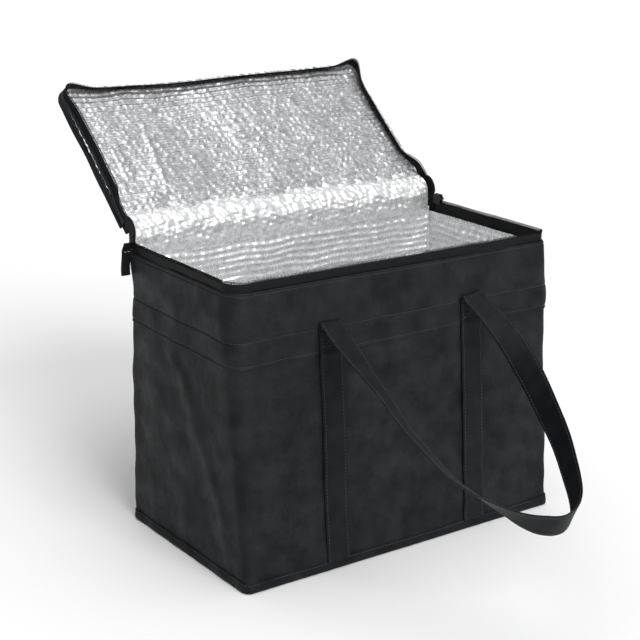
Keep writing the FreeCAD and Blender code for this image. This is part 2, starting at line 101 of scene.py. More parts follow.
def splinePath(points, count):
    # a natural cubic spline through the points, timed by the distance between them, read at even distances
    points = np.asarray(points, float)
    time = np.concatenate([[0], np.cumsum(np.linalg.norm(np.diff(points, axis=0), axis=1))])
    gap = np.diff(time)
    size = len(points)
    matrix, right = np.eye(size), np.zeros_like(points)
    for i in range(1, size - 1):
        matrix[i, i - 1:i + 2] = gap[i - 1], 2 * (gap[i - 1] + gap[i]), gap[i]
        right[i] = 6 * ((points[i + 1] - points[i]) / gap[i] - (points[i] - points[i - 1]) / gap[i - 1])
    curve = np.linalg.solve(matrix, right)
    fine = np.linspace(0, time[-1], 40 * size)
    k = np.clip(np.searchsorted(time, fine, side="right") - 1, 0, size - 2)
    a, b = (time[k + 1] - fine) / gap[k], (fine - time[k]) / gap[k]
    bend = (a ** 3 - a)[:, None] * curve[k] + (b ** 3 - b)[:, None] * curve[k + 1]
    bend = bend * (gap[k] ** 2)[:, None] / 6
    line = a[:, None] * points[k] + b[:, None] * points[k + 1] + bend
    along = np.concatenate([[0], np.cumsum(np.linalg.norm(np.diff(line, axis=0), axis=1))])
    even = np.linspace(0, along[-1], count)
    return np.stack([np.interp(even, along, line[:, i]) for i in range(points.shape[1])], axis=1)


def unit(vectors):
    # each vector divided by its own length
    return vectors / np.maximum(np.linalg.norm(vectors, axis=-1, keepdims=True), 1e-12)


def openLid(points):
    # turns points drawn with the lid shut back about the hinge line
    c, s = math.cos(bag["lidOpen"]), math.sin(bag["lidOpen"])
    y, z = points[..., 1] - hinge[1], points[..., 2] - hinge[2]
    return np.stack([points[..., 0], hinge[1] + y * c + z * s, hinge[2] - y * s + z * c], axis=-1)


def settle(piece, body, slot, *nodes):
    # the body that carries a piece and the CAD nodes it stands for; the material slot argument is not used
    if body:
        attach(piece, body)
    if nodes:
        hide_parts(*nodes)
    return piece


def meshFrom(name, vertices, quads, uvs, material):
    mesh = bpy.data.meshes.new(name)
    mesh.vertices.add(len(vertices))
    mesh.vertices.foreach_set("co", np.asarray(vertices, np.float32).ravel())
    mesh.loops.add(quads.size)
    mesh.loops.foreach_set("vertex_index", quads.astype(np.int32).ravel())
    mesh.polygons.add(len(quads))
    mesh.polygons.foreach_set("loop_start", np.arange(0, quads.size, quads.shape[1], dtype=np.int32))
    mesh.polygons.foreach_set("use_smooth", np.ones(len(quads), bool))
    if uvs is not None:
        mesh.uv_layers.new(name="UVMap").data.foreach_set("uv", np.asarray(uvs, np.float32).ravel())
    mesh.update(calc_edges=True)
    mesh.materials.append(material)
    piece = bpy.data.objects.new(name, mesh)
    scene.collection.objects.link(piece)
    return piece


def gridPiece(name, points, material, closed=False, flip=False):
    # points is rows x columns x 3; the UV map is metres along the rows and up the columns
    rows, cols = points.shape[:2]
    wide = cols if closed else cols - 1
    r, c = np.meshgrid(np.arange(rows - 1), np.arange(wide), indexing="ij")
    nextC = (c + 1) % cols
    corners = np.stack([r * cols + c, r * cols + nextC, (r + 1) * cols + nextC, (r + 1) * cols + c], -1)
    looped = np.concatenate([points, points[:, :1]], axis=1) if closed else points
    across = np.linalg.norm(np.diff(looped, axis=1), axis=2).mean(0)
    up = np.linalg.norm(np.diff(points, axis=0), axis=2).mean(1)
    u = np.concatenate([[0], np.cumsum(across)])
    v = np.concatenate([[0], np.cumsum(up)])
    us = np.stack([u[c], u[c + 1], u[c + 1], u[c]], -1)
    vs = np.stack([v[r], v[r], v[r + 1], v[r + 1]], -1)
    uvs = np.stack([us, vs], -1)
    if flip:
        corners, uvs = corners[..., ::-1], uvs[..., ::-1, :]
    return meshFrom(name, points.reshape(-1, 3), corners.reshape(-1, 4), uvs.reshape(-1, 2), material)


def ribbonPiece(name, centre, across, face, wide, thick, material, crown=0.0):
    # a flat strap: a rounded oblong section carried along the middle line, closed at both ends
    turn = np.linspace(0, 2 * math.pi, 24, endpoint=False)
    x = np.sign(np.cos(turn)) * np.abs(np.cos(turn)) ** 0.35 * wide / 2
    y = np.sign(np.sin(turn)) * np.abs(np.sin(turn)) ** 0.55 * thick / 2
    y = y + crown * (1 - (2 * x / wide) ** 2)
    body = centre[:, None] + across[:, None] * x[:, None] + face[:, None] * y[:, None]
    shut = [np.broadcast_to(centre[i] + (body[i] - centre[i]) * 0.02, body[i].shape)[None] for i in (0, -1)]
    points = np.concatenate([shut[0], body, shut[1]])
    return gridPiece(name, points, material, closed=True)


def tubePiece(name, line, radius, material, sides=8, up=(0, 0, 1)):
    # a circle carried along a line, square to it, closed at both ends
    along = unit(np.gradient(line, axis=0))
    side = unit(np.cross(along, np.array(up, float)))
    top = np.cross(side, along)
    turn = np.linspace(0, 2 * math.pi, sides, endpoint=False)
    ring = side[:, None] * np.cos(turn)[:, None] + top[:, None] * np.sin(turn)[:, None]
    body = line[:, None] + ring * radius
    shut = [np.repeat((line[i] + 0.01 * (body[i, 0] - line[i]))[None, None], sides, axis=1) for i in (0, -1)]
    return gridPiece(name, np.concatenate([shut[0], body, shut[1]]), material, closed=True)


def thicken(piece, thick, offset=-1):
    modifier = piece.modifiers.new("thickness", "SOLIDIFY")
    modifier.thickness = thick
    modifier.offset = offset
    modifier.use_even_offset = False
    return piece


def alongLine(line, step, normals=None):
    # places evenly spaced on a line, with the direction of the line there
    length = np.concatenate([[0], np.cumsum(np.linalg.norm(np.diff(line, axis=0), axis=1))])
    at = np.arange(step / 2, length[-1], step)

    def read(values):
        return np.stack([np.interp(at, length, values[:, i]) for i in range(3)], 1)

    spot = read(line)
    along = unit(read(np.gradient(line, axis=0)))
    return (spot, along, unit(read(normals))) if normals is not None else (spot, along)


stitch = {"step": 0.0038, "long": 0.0030, "radius": 0.00034, "sink": 0.00012}


def stitchPiece(name, lines, material):
    # every stitch is a small closed bead, long along the seam: five rings of six points
    spots, ways, outs = [], [], []
    for line, normals in lines:
        spot, along, out = alongLine(line, stitch["step"], normals)
        spots.append(spot)
        ways.append(along)
        outs.append(out)
    spot, along, out = map(np.concatenate, (spots, ways, outs))
    side = unit(np.cross(along, out))
    out = np.cross(side, along)
    steps = np.array([-0.5, -0.36, 0, 0.36, 0.5]) * stitch["long"]
    girth = np.array([0.08, 0.8, 1, 0.8, 0.08]) * stitch["radius"]
    lift = np.array([-1.0, 0.1, 0.6, 0.1, -1.0]) * stitch["radius"]
    rings, sides = len(steps), 6
    turn = np.linspace(0, 2 * math.pi, sides, endpoint=False)
    middle = spot[:, None] + along[:, None] * steps[:, None] + out[:, None] * (lift - stitch["sink"])[:, None]
    ring = side[:, None] * np.cos(turn)[:, None] + out[:, None] * np.sin(turn)[:, None]
    points = middle[:, :, None] + ring[:, None] * girth[:, None, None]
    r, c = np.meshgrid(np.arange(rings - 1), np.arange(sides), indexing="ij")
    n = (c + 1) % sides
    one = np.stack([r * sides + c, (r + 1) * sides + c, (r + 1) * sides + n, r * sides + n], -1)
    first = np.arange(len(spot)) * rings * sides
    quads = (one.reshape(1, -1, 4) + first[:, None, None]).reshape(-1, 4)
    return meshFrom(name, points.reshape(-1, 3), quads, None, material)


def coilPiece(name, line, normals, thick, tall, pitch, material):
    # a nylon coil: an oval helix of thread carried along the tape's edge
    perTurn, thread = 8, 0.00036
    spot, along, out = alongLine(line, pitch / perTurn, normals)
    rise = unit(np.cross(out, along))
    turn = np.arange(len(spot)) * 2 * math.pi / perTurn
    middle = spot + out * (np.cos(turn) * (thick / 2 - thread))[:, None]
    middle = middle + rise * (np.sin(turn) * (tall / 2 - thread))[:, None]
    return tubePiece(name, middle, thread, material, sides=4, up=(0.3, 0.2, 0.93))


def newMaterial(name, color, roughness, metallic=0.0, specular=0.5):
    material = bpy.data.materials.new(name)
    material.use_nodes = True
    shader = material.node_tree.nodes["Principled BSDF"]
    shader.inputs["Base Color"].default_value = (*color, 1)
    shader.inputs["Roughness"].default_value = roughness
    shader.inputs["Metallic"].default_value = metallic
    shader.inputs["Specular IOR Level"].default_value = specular
    return material, material.node_tree, shader


def link(tree, source, output, target, socket):
    tree.links.new(source.outputs[output], target.inputs[socket])


def coordinates(tree, kind="Object", scale=(1, 1, 1)):
    place = tree.nodes.new("ShaderNodeTexCoord")
    mapping = tree.nodes.new("ShaderNodeMapping")
    mapping.inputs["Scale"].default_value = scale
    link(tree, place, kind, mapping, "Vector")
    return mapping


def noiseNode(tree, where, scale, detail=3.0, roughness=0.55):
    node = tree.nodes.new("ShaderNodeTexNoise")
    node.inputs["Scale"].default_value = scale
    node.inputs["Detail"].default_value = detail
    node.inputs["Roughness"].default_value = roughness
    link(tree, where, "Vector", node, "Vector")
    return node


def ramp(tree, source, output, stops):
    node = tree.nodes.new("ShaderNodeValToRGB")
    while len(node.color_ramp.elements) < len(stops):
        node.color_ramp.elements.new(0.5)
    for element, (place, color) in zip(node.color_ramp.elements, stops):
        element.position = place
        element.color = (*color, 1) if isinstance(color, tuple) else (color, color, color, 1)
    link(tree, source, output, node, "Fac")
    return node


def bump(tree, shader, height, output, strength, distance, before=None):
    node = tree.nodes.new("ShaderNodeBump")
    node.inputs["Strength"].default_value = strength
    node.inputs["Distance"].default_value = distance
    link(tree, height, output, node, "Height")
    if before is not None:
        link(tree, before, "Normal", node, "Normal")
    link(tree, node, "Normal", shader, "Normal")
    return node


clothLook = {
    "dark": (0.0056, 0.0064, 0.0074),
    "light": (0.0175, 0.0195, 0.022),
    "roughness": (0.46, 0.66),
    "specular": 0.11,
    "sheen": 0.012,
    "patch": 38,
    "grain": 900,
    "dimple": 760,
    "fibre": 2600,
    "rumple": 120,
}


def nonwovenMaterial(name, look, tint=(1, 1, 1)):
    # a soft cloudy tone under bonded dimples, fibres and a faint rumple
    material, tree, shader = newMaterial(name, look["dark"], 0.6, specular=look["specular"])
    where = coordinates(tree)
    patches = noiseNode(tree, where, look["patch"], 5, 0.6)
    dark = tuple(a * b for a, b in zip(look["dark"], tint))
    light = tuple(a * b for a, b in zip(look["light"], tint))
    tone = ramp(tree, patches, "Fac", [(0.3, dark), (0.72, light)])
    grain = noiseNode(tree, where, look["grain"], 2)
    speck = ramp(tree, grain, "Fac", [(0.3, 0.75), (0.7, 1.3)])
    mix = tree.nodes.new("ShaderNodeMix")
    mix.data_type = "RGBA"
    mix.blend_type = "MULTIPLY"
    mix.inputs["Factor"].default_value = 1.0
    tree.links.new(tone.outputs["Color"], mix.inputs["A"])
    tree.links.new(speck.outputs["Color"], mix.inputs["B"])
    tree.links.new(mix.outputs["Result"], shader.inputs["Base Color"])
    gloss = ramp(tree, patches, "Fac", [(0.25, look["roughness"][1]), (0.75, look["roughness"][0])])
    link(tree, gloss, "Color", shader, "Roughness")
    shader.inputs["Sheen Weight"].default_value = look["sheen"]
    shader.inputs["Sheen Roughness"].default_value = 0.5
    dimples = tree.nodes.new("ShaderNodeTexVoronoi")
    dimples.inputs["Scale"].default_value = look["dimple"]
    link(tree, where, "Vector", dimples, "Vector")
    first = bump(tree, shader, dimples, "Distance", 0.35, 0.0002)
    fibre = noiseNode(tree, where, look["fibre"], 2)
    second = bump(tree, shader, fibre, "Fac", 0.3, 0.0001, first)
    rumple = noiseNode(tree, where, look["rumple"], 4, 0.6)
    bump(tree, shader, rumple, "Fac", 0.35, 0.0012, second)
    return material


strapLook = {
    "dark": (0.0036, 0.0042, 0.005),
    "light": (0.0105, 0.012, 0.0138),
    "specular": 0.14,
    "sheen": 0.01,
    "patch": 60,
    "rib": 1.1e3,
    "grain": 900,
}


def strapMaterial():
    # close cross ribs on the strap's own map, over the same bonded grain
    material, tree, shader = newMaterial("strapCloth", strapLook["dark"], 0.55, specular=strapLook["specular"])
    where = coordinates(tree)
    patches = noiseNode(tree, where, strapLook["patch"], 5, 0.6)
    tone = ramp(tree, patches, "Fac", [(0.3, strapLook["dark"]), (0.75, strapLook["light"])])
    link(tree, tone, "Color", shader, "Base Color")
    shader.inputs["Sheen Weight"].default_value = strapLook["sheen"]
    surface = coordinates(tree, "UV")
    ribs = tree.nodes.new("ShaderNodeTexWave")
    ribs.bands_direction = "Y"
    ribs.inputs["Scale"].default_value = strapLook["rib"] / 6.2832
    ribs.inputs["Distortion"].default_value = 0.6
    ribs.inputs["Detail"].default_value = 1.0
    link(tree, surface, "Vector", ribs, "Vector")
    first = bump(tree, shader, ribs, "Fac", 0.25, 0.00018)
    grain = noiseNode(tree, where, strapLook["grain"], 3)
    bump(tree, shader, grain, "Fac", 0.35, 0.0002, first)
    return material


foilLook = {
    "walls": {"bright": (0.95, 0.955, 0.96), "dull": (0.76, 0.77, 0.78), "metal": 0.62},
    # the lid's copy is the same foil given a darker base colour: painted shade on the open lid
    "lid": {"bright": (0.62, 0.625, 0.635), "dull": (0.40, 0.405, 0.42), "metal": 0.72},
    "roughness": (0.16, 0.34),
    "patch": 160,
    "haze": 420,
    "bubble": 330,
    "crinkle": 620,
}


def foilMaterial(name, look):
    # bright film over small bubbles, with hazy patches and fine crinkles
    material, tree, shader = newMaterial(name, look["bright"], 0.24, metallic=look["metal"])
    where = coordinates(tree)
    patches = noiseNode(tree, where, foilLook["patch"], 3)
    tone = ramp(tree, patches, "Fac", [(0.35, look["dull"]), (0.6, look["bright"])])
    link(tree, tone, "Color", shader, "Base Color")
    haze = noiseNode(tree, where, foilLook["haze"], 3)
    gloss = ramp(tree, haze, "Fac", [(0.3, foilLook["roughness"][1]), (0.7, foilLook["roughness"][0])])
    link(tree, gloss, "Color", shader, "Roughness")
    bubbles = tree.nodes.new("ShaderNodeTexVoronoi")
    bubbles.feature = "SMOOTH_F1"
    bubbles.inputs["Scale"].default_value = foilLook["bubble"]
    link(tree, where, "Vector", bubbles, "Vector")
    first = bump(tree, shader, bubbles, "Distance", 0.24, 0.0012)
    crinkle = noiseNode(tree, where, foilLook["crinkle"], 4, 0.65)
    bump(tree, shader, crinkle, "Fac", 0.2, 0.0008, first)
    return material


tapeLook = {"dark": (0.003, 0.0032, 0.0036), "light": (0.008, 0.0084, 0.0094), "specular": 0.15, "twill": 210}


def tapeMaterial():
    # woven zip tape: a fine twill on the strip's own map
    material, tree, shader = newMaterial("zipTapeCloth", tapeLook["light"], 0.6, specular=tapeLook["specular"])
    where = coordinates(tree, "UV")
    twill = tree.nodes.new("ShaderNodeTexWave")
    twill.bands_direction = "DIAGONAL"
    twill.inputs["Scale"].default_value = tapeLook["twill"]
    twill.inputs["Distortion"].default_value = 0.4
    link(tree, where, "Vector", twill, "Vector")
    tone = ramp(tree, twill, "Fac", [(0.2, tapeLook["dark"]), (0.8, tapeLook["light"])])
    link(tree, tone, "Color", shader, "Base Color")
    bump(tree, shader, twill, "Fac", 0.5, 0.0002)
    return material


def plainMaterial(name, color, roughness, grainSize, depth, metallic=0.0, specular=0.5):
    material, tree, shader = newMaterial(name, color, roughness, metallic, specular)
    where = coordinates(tree)
    grain = noiseNode(tree, where, grainSize, 3)
    darker = tuple(0.7 * value for value in color)
    brighter = tuple(1.35 * value for value in color)
    tone = ramp(tree, grain, "Fac", [(0.3, darker), (0.7, brighter)])
    link(tree, tone, "Color", shader, "Base Color")
    bump(tree, shader, grain, "Fac", 0.4, depth)
    return material


clothMaterial = nonwovenMaterial("nonwovenCloth", clothLook)
edgeMaterial = nonwovenMaterial("edgeCloth", clothLook, tint=(0.8, 0.8, 0.82))
webbing = strapMaterial()
foil = foilMaterial("foilFilm", foilLook["walls"])
# the lid's foil is a darker copy of the wall foil: painted shade
lidFoilShaded = foilMaterial("lidFoilPaintedShade", foilLook["lid"])
tapeCloth = tapeMaterial()
threadMaterial = plainMaterial("sewingThread", (0.045, 0.049, 0.054), 0.5, 3000, 0.0001, specular=0.3)
paleThread = plainMaterial("tackThread", (0.35, 0.36, 0.38), 0.6, 3000, 0.0001)
nylon = plainMaterial("coilNylon", (0.006, 0.006, 0.0066), 0.55, 900, 0.0001, specular=0.08)
enamel = plainMaterial("sliderEnamel", (0.03, 0.03, 0.032), 0.3, 500, 0.0001, metallic=0.6)
foamMaterial = plainMaterial("foamSheet", (0.8, 0.8, 0.81), 0.8, 700, 0.0004)
boardMaterial = plainMaterial("stiffBoard", (0.08, 0.08, 0.08), 0.7, 400, 0.0002)
print("materials made")


def frontAt(z):
    # the front wall leans in, and the back wall a little, in a straight line from the base to the rim
    return -bag["halfDepth"] + bag["frontLean"] * z / bag["rim"]


def backAt(z):
    return bag["halfDepth"] - bag["backLean"] * z / bag["rim"]


def roundAt(z, corner):
    # a front corner's radius grows from the base to the rim
    return bag["baseRound"] + (bag["rimRounds"][corner] - bag["baseRound"]) * np.clip(z / bag["rim"], 0, 1)


sideTurns = (-90, 0, 90, 180)   # the way each wall faces in degrees: front, right, back, left
sideLengths = (2 * bag["halfWide"], 2 * bag["halfDepth"]) * 2


def ringColumns(straight=0.0032, arc=7):
    # each column is (corner, next corner, angle, share of the way between), anticlockwise from the front left
    columns = []
    for side, start in enumerate(sideTurns):
        following = (side + 1) % 4
        shares = np.linspace(0, 1, int(sideLengths[side] / straight))[:-1]
        columns += [(side, following, start, share) for share in shares]
        columns += [(following, following, turn, 0.0) for turn in np.linspace(start, start + 90, arc)[:-1]]
    return np.array(columns)


def ringPoints(columns, z):
    # corners in order: front left, front right, rear right, rear left; z is one height for each row
    z = np.asarray(z, float)[:, None]
    half, front, back = bag["halfWide"], frontAt(z), backAt(z)
    leftRound, rightRound = roundAt(z, 0), roundAt(z, 1)
    rear = np.full_like(z, bag["rearRound"])
    radii = np.stack([leftRound, rightRound, rear, rear])[:, :, 0]
    middleX = np.stack([-half + leftRound, half - rightRound, half - rear, -half + rear])[:, :, 0]
    middleY = np.stack([front + leftRound, front + rightRound, back - rear, back - rear])[:, :, 0]
    here, there = columns[:, 0].astype(int), columns[:, 1].astype(int)
    turn, share = np.radians(columns[:, 2]), columns[:, 3]
    spot = []
    for middle, way in ((middleX, np.cos(turn)), (middleY, np.sin(turn))):
        first = middle[here].T + radii[here].T * way
        last = middle[there].T + radii[there].T * way
        spot.append(first * (1 - share) + last * share)
    points = np.stack([spot[0], spot[1], np.broadcast_to(z, (len(z), len(columns)))], -1)
    normals = np.stack([np.cos(turn), np.sin(turn), np.zeros(len(columns))], -1)
    return points, np.broadcast_to(normals, points.shape)


folds = {
    "slow": 0.0016,
    "quick": 0.0006,
    "pucker": 0.0006,
    "puckerReach": 0.016,
    "leftCrease": 0.0021,
    "frontCrease": 0.0015,
    # each crease is its (height, place) points from the foot up, its width, and its share of the full depth
    "leftLines": [
        ([(0.02, -0.075), (0.07, -0.068), (0.13, -0.03), (0.19, -0.005), (0.225, 0.03)], 0.013, 1.0),
        ([(0.03, -0.045), (0.08, -0.035), (0.15, 0.0), (0.2, 0.03)], 0.02, -0.8),
        ([(0.235, 0.05), (0.26, 0.02), (0.295, 0.012)], 0.016, 0.6),
        ([(0.09, 0.07), (0.16, 0.05), (0.22, 0.075)], 0.022, 0.6),
    ],
    "frontLines": [
        ([(0.02, 0.02), (0.07, 0.05), (0.12, 0.06)], 0.014, 1.0),
        ([(0.05, 0.15), (0.10, 0.135), (0.16, 0.145)], 0.016, 0.8),
        ([(0.16, -0.16), (0.22, -0.14), (0.29, -0.15)], 0.016, -0.8),
        ([(0.03, -0.15), (0.10, -0.165), (0.16, -0.15)], 0.014, 0.7),
        ([(0.012, -0.02), (0.035, 0.0), (0.06, -0.012)], 0.012, -1.1),
        ([(0.015, 0.125), (0.04, 0.15), (0.055, 0.19)], 0.010, 1.0),
        ([(0.235, -0.07), (0.262, -0.03), (0.295, -0.02)], 0.014, 0.6),
    ],
}


def creaseAlong(across, up, points, width):
    # a soft ridge beside a line that runs down a wall: the distance from the line, rounded off
    heights, places = np.array(points).T
    middle = np.interp(up, heights, places)
    ends = ease((up - heights[0]) / 0.03) * ease((heights[-1] - up) / 0.03)
    return np.exp(-((across - middle) / width) ** 2) * ends


def wallShift(points):
    # how far the cloth stands out from the plain outline
    x, y, z = points[..., 0], points[..., 1], points[..., 2]
    held = ease(z / 0.03) * ease((bag["rim"] - z) / 0.03)
    shift = folds["slow"] * softNoise(points, 0.17, 3) + folds["quick"] * softNoise(points, 0.05, 4)
    shift = shift * (0.25 + 0.75 * held)
    corner = ease((np.minimum(bag["halfWide"] - np.abs(x), 0.2) - 0.004) / 0.04)
    onLeft = ease((-x - bag["halfWide"] + 0.004) / 0.003)
    for line, width, size in folds["leftLines"]:
        shift = shift + folds["leftCrease"] * size * onLeft * creaseAlong(y, z, line, width)
    onFront = ease((frontAt(z) + 0.004 - y) / 0.003)
    for line, width, size in folds["frontLines"]:
        shift = shift + folds["frontCrease"] * size * onFront * creaseAlong(x, z, line, width)
    seam = np.exp(-np.minimum(z, bag["rim"] - z) / folds["puckerReach"])
    ripple = np.sin((x + y) * 2 * math.pi / 0.017 + 2.2 * softNoise(points, 0.06, 9))
    swell = 0.5 + 0.5 * softNoise(points, 0.09, 11)
    return shift + folds["pucker"] * seam * ripple * np.clip(swell, 0, 1.3) * (0.4 + 0.6 * corner)


def wallSurface(columns, heights, offset):
    # offset is how far outside the cloth each row lies
    points, normals = ringPoints(columns, heights)
    offset = np.broadcast_to(np.asarray(offset, float), (len(heights),))
    return points + normals * (wallShift(points) + offset[:, None])[..., None]


def sideColumns(side, straight, arc=5):
    # one wall, from the middle of one corner to the middle of the next
    start, following = sideTurns[side], (side + 1) % 4
    shares = np.linspace(0, 1, int(sideLengths[side] / straight))
    first = [(side, side, turn, 0.0) for turn in np.linspace(start - 45, start, arc)[:-1]]
    middle = [(side, following, start, share) for share in shares]
    last = [(following, following, turn, 0.0) for turn in np.linspace(start, start + 45, arc)[1:]]
    return np.array(first + middle + last)


around = ringColumns()
bandSeams = (bag["bandFoot"] + 0.003, bag["bandLap"] - 0.001, bag["rim"] - 0.004)   # stitch line heights


def groove(z, places, deep, wide):
    # the sum of one bell-shaped dip at each place
    return -deep * sum(np.exp(-((z - place) / wide) ** 2) for place in places)


def makeOuterCloth():
    # the outline at each height, moved out by the wall's folds
    cloth = {"foot": 0.004, "thick": 0.0009, "step": 0.003}
    heights = np.arange(cloth["foot"], bag["bandLap"], cloth["step"])
    piece = gridPiece("bodyCloth", wallSurface(around, heights, 0.0), clothMaterial, closed=True)
    thicken(piece, cloth["thick"])
    settle(piece, "carrier", "nonwoven_cloth", "front_panel", "back_panel", "left_panel", "right_panel")


band = {
    "offset": 0.0011,
    "thick": 0.0008,
    "deep": 0.0009,        # the dip along each stitch line, and its width
    "wide": 0.0012,
    "roll": 0.0035,        # the height that rolls in at the rim, and how far
    "tuck": 0.0016,
    "step": 0.0032,
}


def makeRimBand():
    # a second layer outside the cloth, pulled in along its stitch lines and rolled in at the rim
    fine = [place + np.linspace(-0.003, 0.003, 9) for place in bandSeams]
    coarse = np.arange(bag["bandFoot"], bag["rim"], band["step"])
    heights = np.unique(np.concatenate([coarse, *fine]).round(5))
    heights = heights[(heights >= bag["bandFoot"]) & (heights <= bag["rim"])]
    offset = band["offset"] + groove(heights, bandSeams, band["deep"], band["wide"])
    offset = offset - band["tuck"] * ease((heights - bag["rim"] + band["roll"]) / band["roll"])
    piece = gridPiece("rimBand", wallSurface(around, heights, offset), clothMaterial, closed=True)
    thicken(piece, band["thick"])
    settle(piece, "carrier", "nonwoven_cloth", "front_band", "back_band", "left_band", "right_band")


def makeBaseBinding():
    # a folded strip round the foot: out, round and under, seen as a profile of offset and height
    binding = {"thick": 0.0006, "wave": 0.0003}
    profile = np.array([(0.0003, 0.0112), (0.0009, 0.0108), (0.0011, 0.0095), (0.0007, 0.0088),
                        (0.0012, 0.0078), (0.0015, 0.0050), (0.0014, 0.0022), (0.0008, 0.0006),
                        (-0.0006, 0.0), (-0.004, 0.0)])
    points, normals = ringPoints(around, profile[:, 1])
    wave = binding["wave"] * softNoise(points, 0.03, 21) * (profile[:, 1] > 0.001)[:, None]
    out = wallShift(points) * 0.5 + profile[:, 0][:, None] + wave
    piece = gridPiece("baseBinding", points + normals * out[..., None], edgeMaterial, closed=True, flip=True)
    thicken(piece, binding["thick"])
    settle(piece, "carrier", "nonwoven_cloth", "base_binding")


foilRibs = {"pitch": 0.0074, "deep": 0.0015, "wander": 0.9, "crumple": 0.00028}


def ribHeight(up, points, seed):
    # ribs across the foil, each broken into short runs, with small bubbles between
    wander = foilRibs["wander"] * softNoise(points, 0.05, seed)
    runs = 0.8 + 0.34 * softNoise(points * (1.5, 0.7, 0.7), 0.011, seed + 1)
    ribs = np.abs(np.sin(up * math.pi / foilRibs["pitch"] + wander * 0.5)) ** 1.4 * np.clip(runs, 0.1, 1.2)
    crumple = foilRibs["crumple"] * softNoise(points, 0.035, seed + 2)
    return foilRibs["deep"] * ribs + crumple + 0.00018 * softNoise(points, 0.006, seed + 3)


def makeWallFoil(side, name, nodes, seed):
    # the outline moved inwards and ribbed, with the ribs fading into a gathered hem at the rim
    lining = {"foot": 0.0085, "inset": 0.0058, "rimInset": 0.0038, "row": 0.00115, "column": 0.003,
              "hem": 0.022, "ruffle": 0.0008, "ruffleLong": 0.011}
    columns = sideColumns(side, lining["column"])
    top = bag["rim"] + (0.001 if name == "foilBack" else -0.0048)
    heights = np.arange(lining["foot"], top, lining["row"])
    gather = ease((heights - top + lining["hem"]) / lining["hem"])
    inset = -(lining["inset"] + (lining["rimInset"] - lining["inset"]) * gather)
    points, normals = ringPoints(columns, heights)
    shift = wallShift(points) + inset[:, None]
    column = np.arange(len(columns))
    edge = ease(np.minimum(column, column[::-1]) / 4.0)
    ribs = ribHeight(points[..., 2], points, seed)
    ruffle = np.sin(points[..., 0] * 2 * math.pi / lining["ruffleLong"] + points[..., 1] * 500)
    ruffle = lining["ruffle"] * ruffle * (gather * (1 - gather) * 4)[:, None]
    out = shift + (ribs + ruffle) * edge[None] * (1 - 0.75 * gather)[:, None]
    piece = gridPiece(name, points + normals * out[..., None], foil, flip=True)
    settle(piece, "carrier", "foil_lining", *nodes)


def makeFloorFoil():
    # a flat grid raised by ribs that run across it
    floor = {"inset": 0.006, "lift": 0.0006, "columns": 150, "rows": 130}
    halfX, halfY = bag["halfWide"] - floor["inset"], bag["halfDepth"] - floor["inset"]
    y = np.linspace(-halfY, halfY, floor["rows"])
    x = np.linspace(-halfX, halfX, floor["columns"])
    gridX, gridY = np.meshgrid(x, y)
    points = np.stack([gridX, gridY, np.full_like(gridX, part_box("base_foil")[1].z)], -1)
    flat = np.stack([gridX, gridY, gridX * 0], -1)
    points[..., 2] += floor["lift"] + np.abs(ribHeight(gridY, flat, 71)) * 0.8
    settle(gridPiece("foilFloor", points, foil), "carrier", "foil_lining", "base_foil")


makeOuterCloth()
makeRimBand()
makeBaseBinding()
for side, name, seed in ((0, "front", 31), (1, "right", 41), (2, "back", 51), (3, "left", 61)):
    makeWallFoil(side, "foil" + name.capitalize(), (name + "_foil", name + "_foam"), seed)
makeFloorFoil()
print("walls made")


def openColumns(straight=0.003, arc=9):
    # the left side, the front and the right side, from one rear end to the other
    ring = ringColumns(straight, arc)
    side = ring[:, 0]
    left = ring[(side == 3) & (ring[:, 1] == 0)]
    cornerLeft = ring[(side == 0) & (ring[:, 1] == 0)]
    front = ring[(side == 0) & (ring[:, 1] == 1)]
    cornerRight = ring[(side == 1) & (ring[:, 1] == 1)]
    right = ring[(side == 1) & (ring[:, 1] == 2)]
    return np.concatenate([left, cornerLeft, front, cornerRight, right])


threeSides = openColumns()


def stripRows(inset, heights, waves, seed, rear, shape=None):
    # an upright strip on three sides at the rim's outline; rows are heights, columns run round the bag
    base, normals = ringPoints(threeSides, np.full(len(heights), bag["rim"]))
    keep = base[0, :, 1] <= rear
    base, normals = base[:, keep].copy(), normals[:, keep]
    level = np.asarray(heights, float)[:, None]
    base[..., 2] = level
    wave = waves * softNoise(base * (1, 1, 0.4), 0.07, seed)
    out = wave - inset + (shape(base) if shape is not None else 0)
    return base + normals * np.asarray(out)[..., None], normals


coilSize = {"thick": 0.0019, "pitch": 0.0016, "bodyTall": 0.0028, "lidTall": 0.0027}


def makeBodyZip():
    # an upright strip standing up out of the rim, with the coil along its top
    zipper = {"inset": 0.0016, "thick": 0.0007, "wave": 0.0006, "tuckedIn": 0.010}
    heights = np.linspace(bag["rim"] - zipper["tuckedIn"], bag["tapeTop"], 14)
    points = stripRows(zipper["inset"], heights, zipper["wave"], 81, bag["zipRear"])[0]
    tape = thicken(gridPiece("bodyZipTape", points, tapeCloth), zipper["thick"], 0)
    settle(tape, "carrier", "zip_tape", "body_zip_tape")
    middle = (bag["tapeTop"] + bag["coilTop"]) / 2
    line, normals = stripRows(zipper["inset"], [middle], zipper["wave"], 81, bag["zipRear"])
    thick, tall, pitch = coilSize["thick"], coilSize["bodyTall"], coilSize["pitch"]
    coil = coilPiece("bodyZipCoil", line[0], normals[0], thick, tall, pitch, nylon)
    settle(coil, "carrier", "zip_coil", "body_zip_coil")


